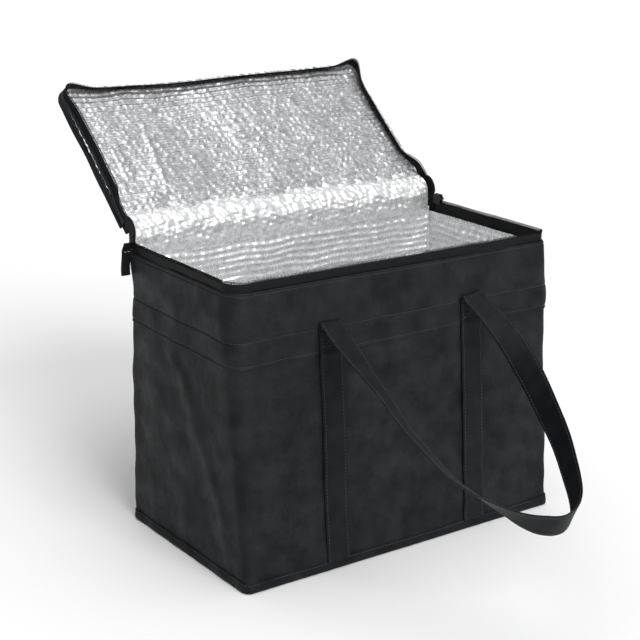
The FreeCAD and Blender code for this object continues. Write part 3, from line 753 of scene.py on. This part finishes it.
def makeZipTail():
    # a short ribbon hanging with a slight sway, and a pale tack near its top
    low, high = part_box("zip_tail")
    tail = {"wide": 0.0105, "thick": 0.0018, "x": low.x + 0.0056, "y": (low.y + high.y) / 2, "rows": 30,
            "tackHalf": 0.003, "tackOut": 0.0012, "tackDown": 0.009}
    drop = np.linspace(0, 1, tail["rows"])
    z = high.z - drop * (high.z - low.z)
    x = tail["x"] + 0.003 * (1 - ease(drop / 0.25)) + 0.0012 * np.sin(drop * 5)
    centre = np.stack([x, tail["y"] + 0.0015 * np.sin(drop * 4), z], 1)
    across = np.repeat([[1.0, 0, 0]], tail["rows"], 0)
    face = np.repeat([[0, -1.0, 0]], tail["rows"], 0)
    piece = ribbonPiece("zipTail", centre, across, face, tail["wide"], tail["thick"], tapeCloth)
    settle(piece, "carrier", "zip_tape", "zip_tail")
    x = np.linspace(tail["x"] - tail["tackHalf"], tail["x"] + tail["tackHalf"], 5)
    tack = np.stack([x, np.full(5, tail["y"] - tail["tackOut"]), np.full(5, high.z - tail["tackDown"])], 1)
    settle(stitchPiece("zipTailTack", [(tack, face[:5])], paleThread), "carrier", "thread")


makeBodyZip()
makeZipTail()
print("rim zip made")


lid = {
    "top": bag["lidTop"],
    "under": 0.3274,
    "rear": hinge[1],
    "puff": 0.003,
    "edgeDrop": 0.0025,
    "lean": (0.0080, 0.0112, 0.0135),   # how far the loose edge leans in: left, front, right
    "leanFree": 0.029,     # the length beside the hinge that does not lean
    "sag": 0.0055,         # how far the front edge bows
    "sagAt": (-0.075, 0.085),   # the middle of the bow and its width
    "liftAt": (0.165, 0.05),    # the lifted right corner and its width
    "lift": 0.16,          # the corner's lift as a share of the bow
    "skirtFoot": 0.3222,
    "tapeFoot": 0.3164,
    "coilFoot": 0.3138,
}
rimFront = frontAt(bag["rim"])


def lidBow(x, y):
    # the open lid's far edge droops left of the middle and lifts at the right corner
    far = ease((0.06 - (y - rimFront)) / 0.16 + 0.4)
    droop = np.exp(-((x - lid["sagAt"][0]) / lid["sagAt"][1]) ** 2)
    lift = np.exp(-((x - lid["liftAt"][0]) / lid["liftAt"][1]) ** 2)
    return far * (lid["sag"] * droop - lid["lift"] * lid["sag"] * lift)


def lidLean(points):
    # the loose edge leans in, most in the middle of each side, and stays put at the corners and the hinge
    x, y, z = points[..., 0], points[..., 1], points[..., 2]
    low = np.clip((lid["top"] - z) / (lid["top"] - lid["coilFoot"]), 0, 1)
    left, front, right = lid["lean"]
    alongFront = front * ease((bag["halfWide"] - np.abs(x)) / 0.05) * (y < rimFront + 0.03)
    fade = ease((lid["rear"] - lid["leanFree"] - y) / 0.03)
    alongSide = np.where(x < 0, left, right) * ease((y - rimFront) / 0.05) * fade
    return -low ** 1.2 * np.maximum(alongFront, alongSide)


def lidSheet(inset, rows, cols, corner):
    # a rounded oblong as rows from the front to the rear; each row is as wide as the outline is there
    front, rear = rimFront + inset, lid["rear"] - inset
    share = np.linspace(0, 1, rows)
    bend = int(corner * rows)
    y = front + (rear - front) * share
    y[:bend] = front + (y[bend] - front) * (1 - np.cos(np.linspace(0, math.pi / 2, bend, endpoint=False)))
    ends = []
    for rimRound in bag["rimRounds"]:
        radius = rimRound - inset
        into = np.clip(front + radius - y, 0, radius)
        ends.append(bag["halfWide"] - inset - radius + np.sqrt(np.maximum(radius ** 2 - into ** 2, 0)))
    left, right = -ends[0][:, None], ends[1][:, None]
    x = left + (right - left) * np.linspace(0, 1, cols)[None]
    gridY = np.broadcast_to(y[:, None], x.shape)
    edge = np.minimum(np.minimum(np.minimum(x - left, right - x), gridY - front), rear - gridY)
    return x, gridY, np.maximum(edge, 0)


def makeLidCloth():
    # the oblong raised by a puff that grows from its edges, and rounded down at the edge itself
    x, y, edge = lidSheet(0.0, 96, 150, 0.1)
    flat = np.stack([x, y, x * 0], -1)
    puff = lid["puff"] * ease(edge / 0.06) * (0.8 + 0.4 * softNoise(flat, 0.2, 101))
    soft = 0.0012 * softNoise(flat, 0.09, 102) * ease(edge / 0.02)
    z = lid["top"] - lid["edgeDrop"] * np.exp(-edge / 0.004) + puff + soft + lidBow(x, y)
    points = openLid(np.stack([x, y, z], -1))
    piece = thicken(gridPiece("lidCloth", points, clothMaterial), 0.001)
    settle(piece, "lid", "nonwoven_cloth", "lid_panel", "lid_foam")


lidLining = {
    "inset": 0.0022,
    "hem": 0.0012,        # the turned edge, ragged along its length
    "crease": 0.0016,     # one long slanting crease
    "creaseAt": 0.128,
    "creaseSlant": 0.12,
    "pair": 0.0012,       # two short creases side by side
    "pairAt": (0.166, 0.173),
    "hatch": 0.0005,      # fine upright ripples in the left part
    "hang": 0.0010,
}


def makeLidFoil():
    # ribs across the oblong, with a turned hem, a few creases and a slight hang between the seams
    x, y, edge = lidSheet(lidLining["inset"], 230, 190, 0.05)
    flat = np.stack([x, y, x * 0], -1)
    ribs = ribHeight(y, flat, 111)
    calm = ease(edge / 0.006)
    ragged = 1 + 0.6 * softNoise(flat, 0.009, 115)
    turnedUp = lidLining["hem"] * np.exp(-edge / 0.0022) * ragged * ease((lid["rear"] - y) / 0.02)
    aside = x + lidLining["creaseAt"] + lidLining["creaseSlant"] * (y - 0.02)
    crease = lidLining["crease"] * np.exp(-(aside / 0.0022) ** 2)
    crease = crease * ease((y + 0.03) / 0.02) * ease((0.07 - y) / 0.02)
    pair = sum(np.exp(-((x + place) / 0.0016) ** 2) for place in lidLining["pairAt"])
    pair = lidLining["pair"] * pair * ease((y + 0.01) / 0.015) * ease((0.05 - y) / 0.015)
    hatched = lidLining["hatch"] * np.sin((x + 0.19) * 2 * math.pi / 0.0045)
    hatched = hatched * np.exp(-((x + 0.186) / 0.012) ** 2) * ease((y + 0.06) / 0.05)
    hang = lidLining["hang"] * softNoise(flat, 0.13, 116) * calm
    z = lid["under"] - hang - (ribs + hatched) * calm - turnedUp - crease - pair + lidBow(x, y)
    piece = gridPiece("lidFoil", openLid(np.stack([x, y, z], -1)), lidFoilShaded, flip=True)
    settle(piece, "lid", "foil_lining", "lid_foil")


def lidStrip(inset, heights, waves, seed, rear):
    # the rim's upright strip, leaning and bowing with the lid's loose edge
    points, normals = stripRows(inset, heights, waves, seed, rear, shape=lidLean)
    points[..., 2] += lidBow(points[..., 0], points[..., 1]) - 0.3 * lidLean(points)
    return points, normals


def makeLidSides():
    # the skirt below the lid's edge, then the zip tape and its coil, and the bound edge above them
    sides = {"inset": 0.0004, "thick": 0.0009, "wave": 0.0004, "tapeInset": 0.0018, "tapeThick": 0.0007,
             "lap": 0.0035, "bound": 0.0016}
    heights = np.linspace(lid["top"] - 0.0015, lid["skirtFoot"], 10)
    points = lidStrip(sides["inset"], heights, sides["wave"], 121, lid["rear"] - 0.0005)[0]
    skirt = thicken(gridPiece("lidSkirt", openLid(points), clothMaterial, flip=True), sides["thick"])
    settle(skirt, "lid", "nonwoven_cloth", "lid_skirt")
    heights = np.linspace(lid["skirtFoot"] + sides["lap"], lid["tapeFoot"], 9)
    points = lidStrip(sides["tapeInset"], heights, sides["wave"], 121, bag["zipRear"])[0]
    tape = thicken(gridPiece("lidZipTape", openLid(points), tapeCloth, flip=True), sides["tapeThick"], 0)
    settle(tape, "lid", "zip_tape", "lid_zip_tape")
    middle = (lid["tapeFoot"] + lid["coilFoot"]) / 2
    line, normals = lidStrip(sides["tapeInset"], [middle], sides["wave"], 121, bag["zipRear"])
    outward = openLid(line[0] + normals[0]) - openLid(line[0])
    thick, tall, pitch = coilSize["thick"], coilSize["lidTall"], coilSize["pitch"]
    coil = coilPiece("lidZipCoil", openLid(line[0]), outward, thick, tall, pitch, nylon)
    settle(coil, "lid", "zip_coil", "lid_zip_coil")
    line = lidStrip(-sides["inset"], [lid["top"] - 0.0012], sides["wave"], 121, lid["rear"] - 0.004)[0][0]
    edge = tubePiece("lidEdgeBinding", openLid(line), sides["bound"], edgeMaterial, sides=10, up=(0.2, 0.7, -0.7))
    settle(edge, "lid", "nonwoven_cloth", "lid_edge_binding")


makeLidCloth()
makeLidFoil()
makeLidSides()
print("lid made")


def lidSpot(a, b):
    # where a place on the shut lid comes to when it is open: a is back from the hinge line, b up from it
    c, s = math.cos(bag["lidOpen"]), math.sin(bag["lidOpen"])
    return hinge[1] + a * c + b * s, hinge[2] - a * s + b * c


def acrossPath(path, x):
    # a path of (y, z) places swept along x
    return np.stack(np.broadcast_arrays(x[None], path[:, 0][:, None], path[:, 1][:, None]), -1)


def hingePath(count):
    # the hinge's outer cloth, from the back wall over the hinge line to the lid
    back = backAt(bag["rim"])
    return splinePath([(back + 0.0008, bag["rim"] - 0.006), (back + 0.0008, bag["rim"] + 0.002),
                       (hinge[1] - 0.0006, hinge[2] - 0.007), (hinge[1] + 0.0003, hinge[2] - 0.0004),
                       lidSpot(0.0006, 0.0030), lidSpot(0.0004, 0.0072)], count)


lidHinge = {
    "past": 0.0032,        # how far the cloth reaches past the CAD strip at each end
    "thick": 0.0008,
    "ruffle": 0.0003,
    "foilShort": 0.0062,   # how far the lining stops short of the walls
    "rows": 60,
    "pleat": 0.00035,
    "pleatLong": 0.0095,
    "rumple": 0.0007,
    "rib": 0.0008,
    "ragged": 0.004,       # the lining's uneven far edge
}


def makeHinge():
    # the cloth is one path swept across; the lining is a longer path with pleats, rumples and ribs that fade
    # at its ends
    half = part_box("hinge_strip")[1].x + lidHinge["past"]
    back = backAt(bag["rim"])
    y0, z0 = hinge[1], hinge[2]
    flat = acrossPath(hingePath(24), np.linspace(-half, half, 200))
    ruffle = lidHinge["ruffle"] * softNoise(flat, 0.03, 131)
    cloth = gridPiece("hingeCloth", flat + np.stack([ruffle * 0, ruffle, ruffle], -1), clothMaterial, flip=True)
    thicken(cloth, lidHinge["thick"])
    settle(cloth, None, "nonwoven_cloth", "hinge_strip", "lid_rear_skirt")
    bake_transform(cloth)
    half = bag["halfWide"] - lidHinge["foilShort"]
    x = np.linspace(-half, half, 260)
    inner = splinePath([(back - 0.0046, bag["rim"] - 0.006), (back - 0.0042, bag["rim"] + 0.004),
                        (y0 - 0.0052, z0 - 0.010), (y0 - 0.0034, z0 - 0.001),
                        lidSpot(-0.006, -0.0036), lidSpot(-0.014, -0.0028),
                        lidSpot(-0.020, 0.0008), lidSpot(-0.026, 0.0032)], lidHinge["rows"])
    share = np.linspace(0, 1, lidHinge["rows"])[:, None]
    flat = acrossPath(inner, x)
    bunch = np.sin(np.pi * share) ** 0.8
    bent = 4.0 * softNoise(flat, 0.04, 141)
    pleats = lidHinge["pleat"] * np.sin(x * 2 * math.pi / lidHinge["pleatLong"] + bent) * bunch
    rumple = [lidHinge["rumple"] * softNoise(flat, size, seed) for size, seed in ((0.022, 142), (0.007, 143))]
    rumple = (rumple[0] + rumple[1]) * bunch
    wander = 0.6 * softNoise(flat, 0.05, 144)
    rows = lidHinge["rib"] * np.abs(np.sin(share * 9 * math.pi / 2 + wander)) ** 1.4 * bunch
    ragged = share ** 5 * lidHinge["ragged"] * softNoise(flat, 0.012, 145)
    flat = flat + ragged[..., None] * np.array([0, 0.77, 0.64])
    out = (pleats + rumple + rows)[..., None] * np.array([0, -0.8, 0.6])
    lining = gridPiece("hingeFoil", flat + out, foil)
    settle(lining, None, "foil_lining")
    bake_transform(lining)


ear = {
    "thick": 0.0016,
    "inset": 0.0016,
    "reach": 0.0150,       # how far the fold stands from the hinge line, and how much less in its middle
    "pinch": 0.0030,
    "bend": 24,            # rows round the fold, rows at each end, and columns
    "ends": 6,
    "columns": 9,
    "sway": 0.0008,
    "clear": 0.0008,       # the space left round the slider
}


def makeCornerEars():
    # the tapes' ends turned in by the hinge: each row runs from the hinge cloth to an arc round the hinge line
    body = math.atan2(bag["coilTop"] - 0.003 - hinge[2], bag["zipRear"] - hinge[1])
    shut = math.atan2(lid["tapeFoot"] - hinge[2], bag["zipRear"] - hinge[1])
    bend, ends, columns = ear["bend"], ear["ends"], ear["columns"]
    sliderLow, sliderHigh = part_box("zip_slider")
    rows = bend + 2 * ends
    for name, x in (("Left", -bag["halfWide"] + ear["inset"]), ("Right", bag["halfWide"] - ear["inset"])):
        angle = np.linspace(body - 0.05, shut - bag["lidOpen"] - 0.12, bend)
        reach = ear["reach"] - ear["pinch"] * np.sin(np.linspace(0, np.pi, bend))
        arc = hinge[1:] + np.stack([np.cos(angle), np.sin(angle)], 1) * reach[:, None]
        share = np.linspace(0, 1, ends, endpoint=False)[:, None]
        foot = np.array([arc[0, 0] - 0.0026, bag["rim"] - 0.005])
        tip = np.array(lidSpot(-0.0070, 0.0050))
        rise = foot + (arc[0] - (0.0026, 0.0012) - foot) * share
        arc = np.concatenate([rise, arc, (tip + (arc[-1] - tip) * share)[::-1]])
        beside = (arc[:, 1] > sliderLow.z - ear["clear"]) & (arc[:, 1] < sliderHigh.z + ear["clear"])
        arc[:, 0] = np.where(beside, np.maximum(arc[:, 0], sliderHigh.y + ear["clear"]), arc[:, 0])
        fold = np.sin(np.linspace(0, np.pi, rows))
        root = hingePath(rows)
        share = np.linspace(1, 0, columns)[None, :, None]
        spots = root[:, None] + (arc - root)[:, None] * share
        sway = -ear["sway"] * fold * np.sign(x)
        points = np.concatenate([np.broadcast_to((x + sway)[:, None, None], (rows, columns, 1)), spots], -1)
        piece = thicken(gridPiece("cornerEar" + name, points, tapeCloth, flip=x < 0), ear["thick"], 0)
        settle(piece, None, "zip_tape")
        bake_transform(piece)


makeHinge()
makeCornerEars()
print("hinge made")


rightLow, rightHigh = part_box("front_strap_right")
strap = {
    "wide": rightHigh.x - rightLow.x,
    "apart": rightHigh.x + rightLow.x,
    "thick": 0.0017,
    "edge": 0.0026,        # from a side edge to its stitch line
    "foot": 0.0095,
    "off": 0.0011,         # how far the strap lies outside the cloth, and how much more over the rim band
    "overBand": 0.0013,
    "sunk": 0.0004,
}

handleSides = {
    "front": {"sign": -1, "joint": "front_handle_swing", "tilt": math.radians(58),
              "route": [(-91.5, 2), (-91, 45), (-89, 96), (-86, 157), (-73, 209), (-50, 247), (-23, 272),
                        (3, 282), (23, 275), (42, 253), (61, 214), (78, 163), (92, 103), (98, 50), (91.5, 2)],
              "twist": ((0, 0.03, 0.08, 0.13, 0.2, 0.29, 0.36, 0.42, 0.47, 0.52, 0.56, 0.62, 0.7, 0.8, 0.9,
                         0.96, 1),
                        (0, 3, 15, 27, 33, 35, 42, 62, 90, 101, 92, 84, 76, 60, 34, 10, 0))},
    "back": {"sign": 1, "joint": "back_handle_swing", "tilt": math.radians(30),
             "route": [(-91.5, 2), (-94, 90), (-86, 170), (-57, 245), (0, 286), (57, 245), (86, 170),
                       (94, 90), (91.5, 2)],
             "twist": ((0, 0.03, 0.12, 0.25, 0.4, 0.5, 0.6, 0.75, 0.88, 0.97, 1),
                       (0, 4, 35, 66, 86, 90, 87, 68, 36, 5, 0))},
}
millimetre = 0.001


def wallLine(sign, x, z, offset):
    # points on the front (-1) or back (1) wall at given places, a given distance outside the cloth
    y = frontAt(z) if sign < 0 else backAt(z)
    points = np.stack(np.broadcast_arrays(x, y, z), -1)
    return points + np.array([0, sign, 0]) * (wallShift(points) + offset)[..., None]


def makeSewnStrap(side, hand, x):
    # a ribbon up the wall to the fold, with the lines of its two edge seams
    place = handleSides[side]
    fold = joints[place["joint"]]["pos_m"]
    z = np.linspace(strap["foot"], fold[2], 90)
    lap = ease((z - bag["bandFoot"] + 0.006) / 0.008)
    offset = strap["off"] + strap["overBand"] * lap + strap["thick"] / 2 - strap["sunk"]
    centre = wallLine(place["sign"], x, z, offset)
    centre[:, 1] += place["sign"] * 0.0002 * np.sin(z * 260)
    across = np.repeat([[1.0, 0, 0]], len(z), 0)
    face = np.cross(across, unit(np.gradient(centre, axis=0)))
    name = side + "Strap" + hand.capitalize()
    piece = ribbonPiece(name, centre, across, face, strap["wide"], strap["thick"], webbing)
    settle(piece, "carrier", "webbing", f"{side}_strap_{hand}")
    out = np.array([0, place["sign"], 0.0])
    seams = []
    for edge in (-1, 1):
        line = centre + across * edge * (strap["wide"] / 2 - strap["edge"]) + out * strap["thick"] * 0.5
        seams.append((line, np.repeat(out[None], len(z), 0)))
    return seams, centre, out


def loopFrames(side):
    # the middle line of the free loop with its width and face directions, the twist fullest at the far end
    place = handleSides[side]
    sign, tilt = place["sign"], place["tilt"]
    fold = np.array(joints[place["joint"]]["pos_m"])
    outward = np.array([0, sign * math.sin(tilt), -math.cos(tilt)])
    normal = np.array([0, sign * math.cos(tilt), math.sin(tilt)])
    route = splinePath(np.array(place["route"]) * millimetre, 150)
    centre = fold + np.outer(route[:, 0], [1, 0, 0]) + np.outer(route[:, 1], outward)
    along = unit(np.gradient(centre, axis=0))
    share = np.linspace(0, 1, len(centre))
    inward = np.outer(along @ outward, [1, 0, 0]) - np.outer(along @ [1, 0, 0], outward)
    twist = np.radians(np.interp(share, *place["twist"]))[:, None]
    face = normal * np.cos(twist) + inward * np.sin(twist)
    return centre, unit(np.cross(along, face)), fold, outward, sign


def makeLoop(side):
    # the ribbon of the loop, with a small arc at each end from straight up the wall to out along the loop
    centre, across, fold, outward, sign = loopFrames(side)
    arc = np.linspace(0, 1, 12)[:, None]
    pieces = []
    for end in (0, -1):
        height = np.array([fold[2] - 0.004])
        top = wallLine(sign, centre[end, :1], height, 0.0024 + strap["thick"] / 2 - strap["sunk"])[0]
        first = centre[end] + outward * 0.002
        lift = np.array([0, 0, 0.0052])
        pulls = (top, top + lift * 1.5, first - outward * 0.006 + lift * 0.5, first)
        weights = ((1 - arc) ** 3, 3 * arc * (1 - arc) ** 2, 3 * arc ** 2 * (1 - arc), arc ** 3)
        pieces.append(sum(weight * pull for weight, pull in zip(weights, pulls)))
    start, finish = pieces
    line = np.concatenate([start[:-1], centre[2:-2], finish[::-1][1:]])
    startWide = np.repeat(across[2:3], len(start) - 1, 0)
    finishWide = np.repeat(across[-3:-2], len(finish) - 1, 0)
    wide = np.concatenate([startWide, across[2:-2], finishWide])
    along = unit(np.gradient(line, axis=0))
    wide = unit(wide - (wide * along).sum(1)[:, None] * along)
    out = np.cross(wide, along) * -1
    wobble = 0.0006 * np.sin(np.arange(len(line)) * 0.35)
    line = line + out * wobble[:, None] * np.sin(np.pi * np.linspace(0, 1, len(line)))[:, None]
    name = side + "Handle"
    piece = ribbonPiece(name, line, wide, out, strap["wide"], strap["thick"], webbing)
    settle(piece, None, "webbing", f"{side}_handle_loop")
    lines = []
    for edge in (-1, 1):
        for face in (-1, 1):
            beside = wide * edge * (strap["wide"] / 2 - strap["edge"])
            seam = line + beside + out * face * strap["thick"] * 0.5
            lines.append((seam, out * face))
    threads = stitchPiece(name + "Stitching", lines, threadMaterial)
    settle(threads, None, "thread")
    for item in (piece, threads):
        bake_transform(item)


def makeTack(centre, out, fold):
    # the box of stitches near the top of a sewn strap
    low, high = fold - 0.022, fold - 0.008
    x = centre[:, 0].mean()
    half = strap["wide"] / 2 - strap["edge"] * 1.4

    def level(z):
        return np.array([x, np.interp(z, centre[:, 2], centre[:, 1]) + out[1] * strap["thick"] * 0.5, z])

    sides = []
    corners = [(-half, low), (half, low), (half, high), (-half, high), (-half, low), (half, high)]
    for (x0, z0), (x1, z1) in zip(corners, corners[1:] + [(-half, high)]):
        share = np.linspace(0, 1, 12)[:, None]
        line = (level(z0) + [x0, 0, 0]) * (1 - share) + (level(z1) + [x1, 0, 0]) * share
        sides.append((line, np.repeat(out[None], 12, 0)))
    return sides


strapSeams, tackSeams = [], []
for side in ("front", "back"):
    for hand, x in (("left", -strap["apart"] / 2), ("right", strap["apart"] / 2)):
        seams, centre, out = makeSewnStrap(side, hand, x)
        strapSeams += seams
        tackSeams += makeTack(centre, out, joints[handleSides[side]["joint"]]["pos_m"][2])
    makeLoop(side)
settle(stitchPiece("strapStitching", strapSeams, threadMaterial), "carrier", "thread")
settle(stitchPiece("strapTackStitching", tackSeams, threadMaterial), "carrier", "thread", "strap_tacks")
print("handles made")


def ringSeam(z, offset):
    # a stitch line right round the walls at one height
    points, normals = ringPoints(around, [z])
    line = points[0] + normals[0] * (wallShift(points[0]) + offset)[:, None]
    return np.concatenate([line, line[:1]]), np.concatenate([normals[0], normals[0][:1]])


def makeSeams():
    # the band's lines lie in its grooves; the lid's two lines follow its skirt
    seam = {"raised": 0.0002, "foot": 0.0088, "footOut": 0.0009, "lidInset": 0.0004, "lidWave": 0.0005}
    grooved = band["offset"] - band["deep"]
    lines = [ringSeam(place, grooved + seam["raised"]) for place in bandSeams]
    settle(stitchPiece("bandStitching", lines, threadMaterial), "carrier", "thread")
    foot = stitchPiece("baseStitching", [ringSeam(seam["foot"], seam["footOut"])], threadMaterial)
    settle(foot, "carrier", "thread")
    rows = []
    for height in (lid["skirtFoot"] + 0.002, lid["top"] - 0.005):
        points, normals = lidStrip(seam["lidInset"], [height], seam["lidWave"], 121, lid["rear"] - 0.004)
        line = openLid(points[0])
        rows.append((line, openLid(points[0] + normals[0]) - line))
    settle(stitchPiece("lidStitching", rows, threadMaterial), "lid", "thread")


makeSeams()
print("seams made")


nodeLooks = {   # CAD nodes that are shown as they are
    "base_panel": clothMaterial,
    "base_foam": foamMaterial,
    "base_board": boardMaterial,
    "zip_end_stops": nylon,
    "zip_slider": enamel,
    "zip_pull": enamel,
}
for node, material in nodeLooks.items():
    piece = frame["nodes"][node]
    piece.data.materials.clear()
    piece.data.materials.append(material)


def makeStudio():
    # a pale floor, a sky that is brighter overhead and dimmer to the left, and one soft sun from the front
    studio = {"floorHalf": 20.0, "floorTop": -0.0004, "floor": (0.9, 0.9, 0.9), "sky": 1.0, "leftDim": 0.25,
              "sun": 1.9, "spread": math.radians(34), "from": (-0.02, -0.82, 0.57)}
    half, top = studio["floorHalf"], studio["floorTop"]
    material = newMaterial("paleFloor", studio["floor"], 0.8, specular=0.1)[0]
    corners = np.array([(-half, -half, top), (half, -half, top), (half, half, top), (-half, half, top)])
    floor = meshFrom("floor", corners, np.array([[0, 1, 2, 3]]), None, material)
    world = bpy.data.worlds.new("studioSky")
    scene.world = world
    world.use_nodes = True
    tree = world.node_tree
    background = tree.nodes["Background"]
    place = tree.nodes.new("ShaderNodeTexCoord")
    split = tree.nodes.new("ShaderNodeSeparateXYZ")
    link(tree, place, "Generated", split, "Vector")
    sky = ramp(tree, split, "Z", [(0.0, 0.5), (0.3, 0.5), (0.8, 0.5), (0.95, 2.3)])
    link(tree, sky, "Color", background, "Color")
    across = tree.nodes.new("ShaderNodeMapRange")
    link(tree, split, "X", across, "Value")
    limits = {"From Min": -0.9, "From Max": -0.1, "To Min": studio["leftDim"], "To Max": studio["sky"]}
    for socket, value in limits.items():
        across.inputs[socket].default_value = value
    link(tree, across, "Result", background, "Strength")
    data = bpy.data.lights.new("keySun", "SUN")
    data.energy = studio["sun"]
    data.angle = studio["spread"]
    sun = bpy.data.objects.new("keySun", data)
    sun.rotation_euler = Vector(studio["from"]).to_track_quat("Z", "Y").to_euler()
    scene.collection.objects.link(sun)


def makeCamera():
    # the camera looks back along its own direction at the target, rolled a little about it
    view = {"azimuth": math.radians(-35.68), "elevation": math.radians(16.93), "roll": math.radians(0.77),
            "distance": 1.6317, "lens": 86.45, "target": (-0.03635, 0.0, 0.22748)}
    a, e, roll = view["azimuth"], view["elevation"], view["roll"]
    back = Vector((math.sin(a) * math.cos(e), -math.cos(a) * math.cos(e), math.sin(e)))
    right = Vector((0, 0, 1)).cross(back).normalized()
    up = back.cross(right)
    turnedRight = right * math.cos(roll) + up * math.sin(roll)
    turnedUp = up * math.cos(roll) - right * math.sin(roll)
    data = bpy.data.cameras.new("camera")
    data.lens = view["lens"]
    camera = bpy.data.objects.new("camera", data)
    matrix = Matrix((turnedRight, turnedUp, back)).transposed().to_4x4()
    matrix.translation = Vector(view["target"]) + back * view["distance"]
    camera.matrix_world = matrix
    scene.collection.objects.link(camera)
    scene.camera = camera


makeStudio()
makeCamera()
scene.view_settings.view_transform = "Standard"
print("studio made")
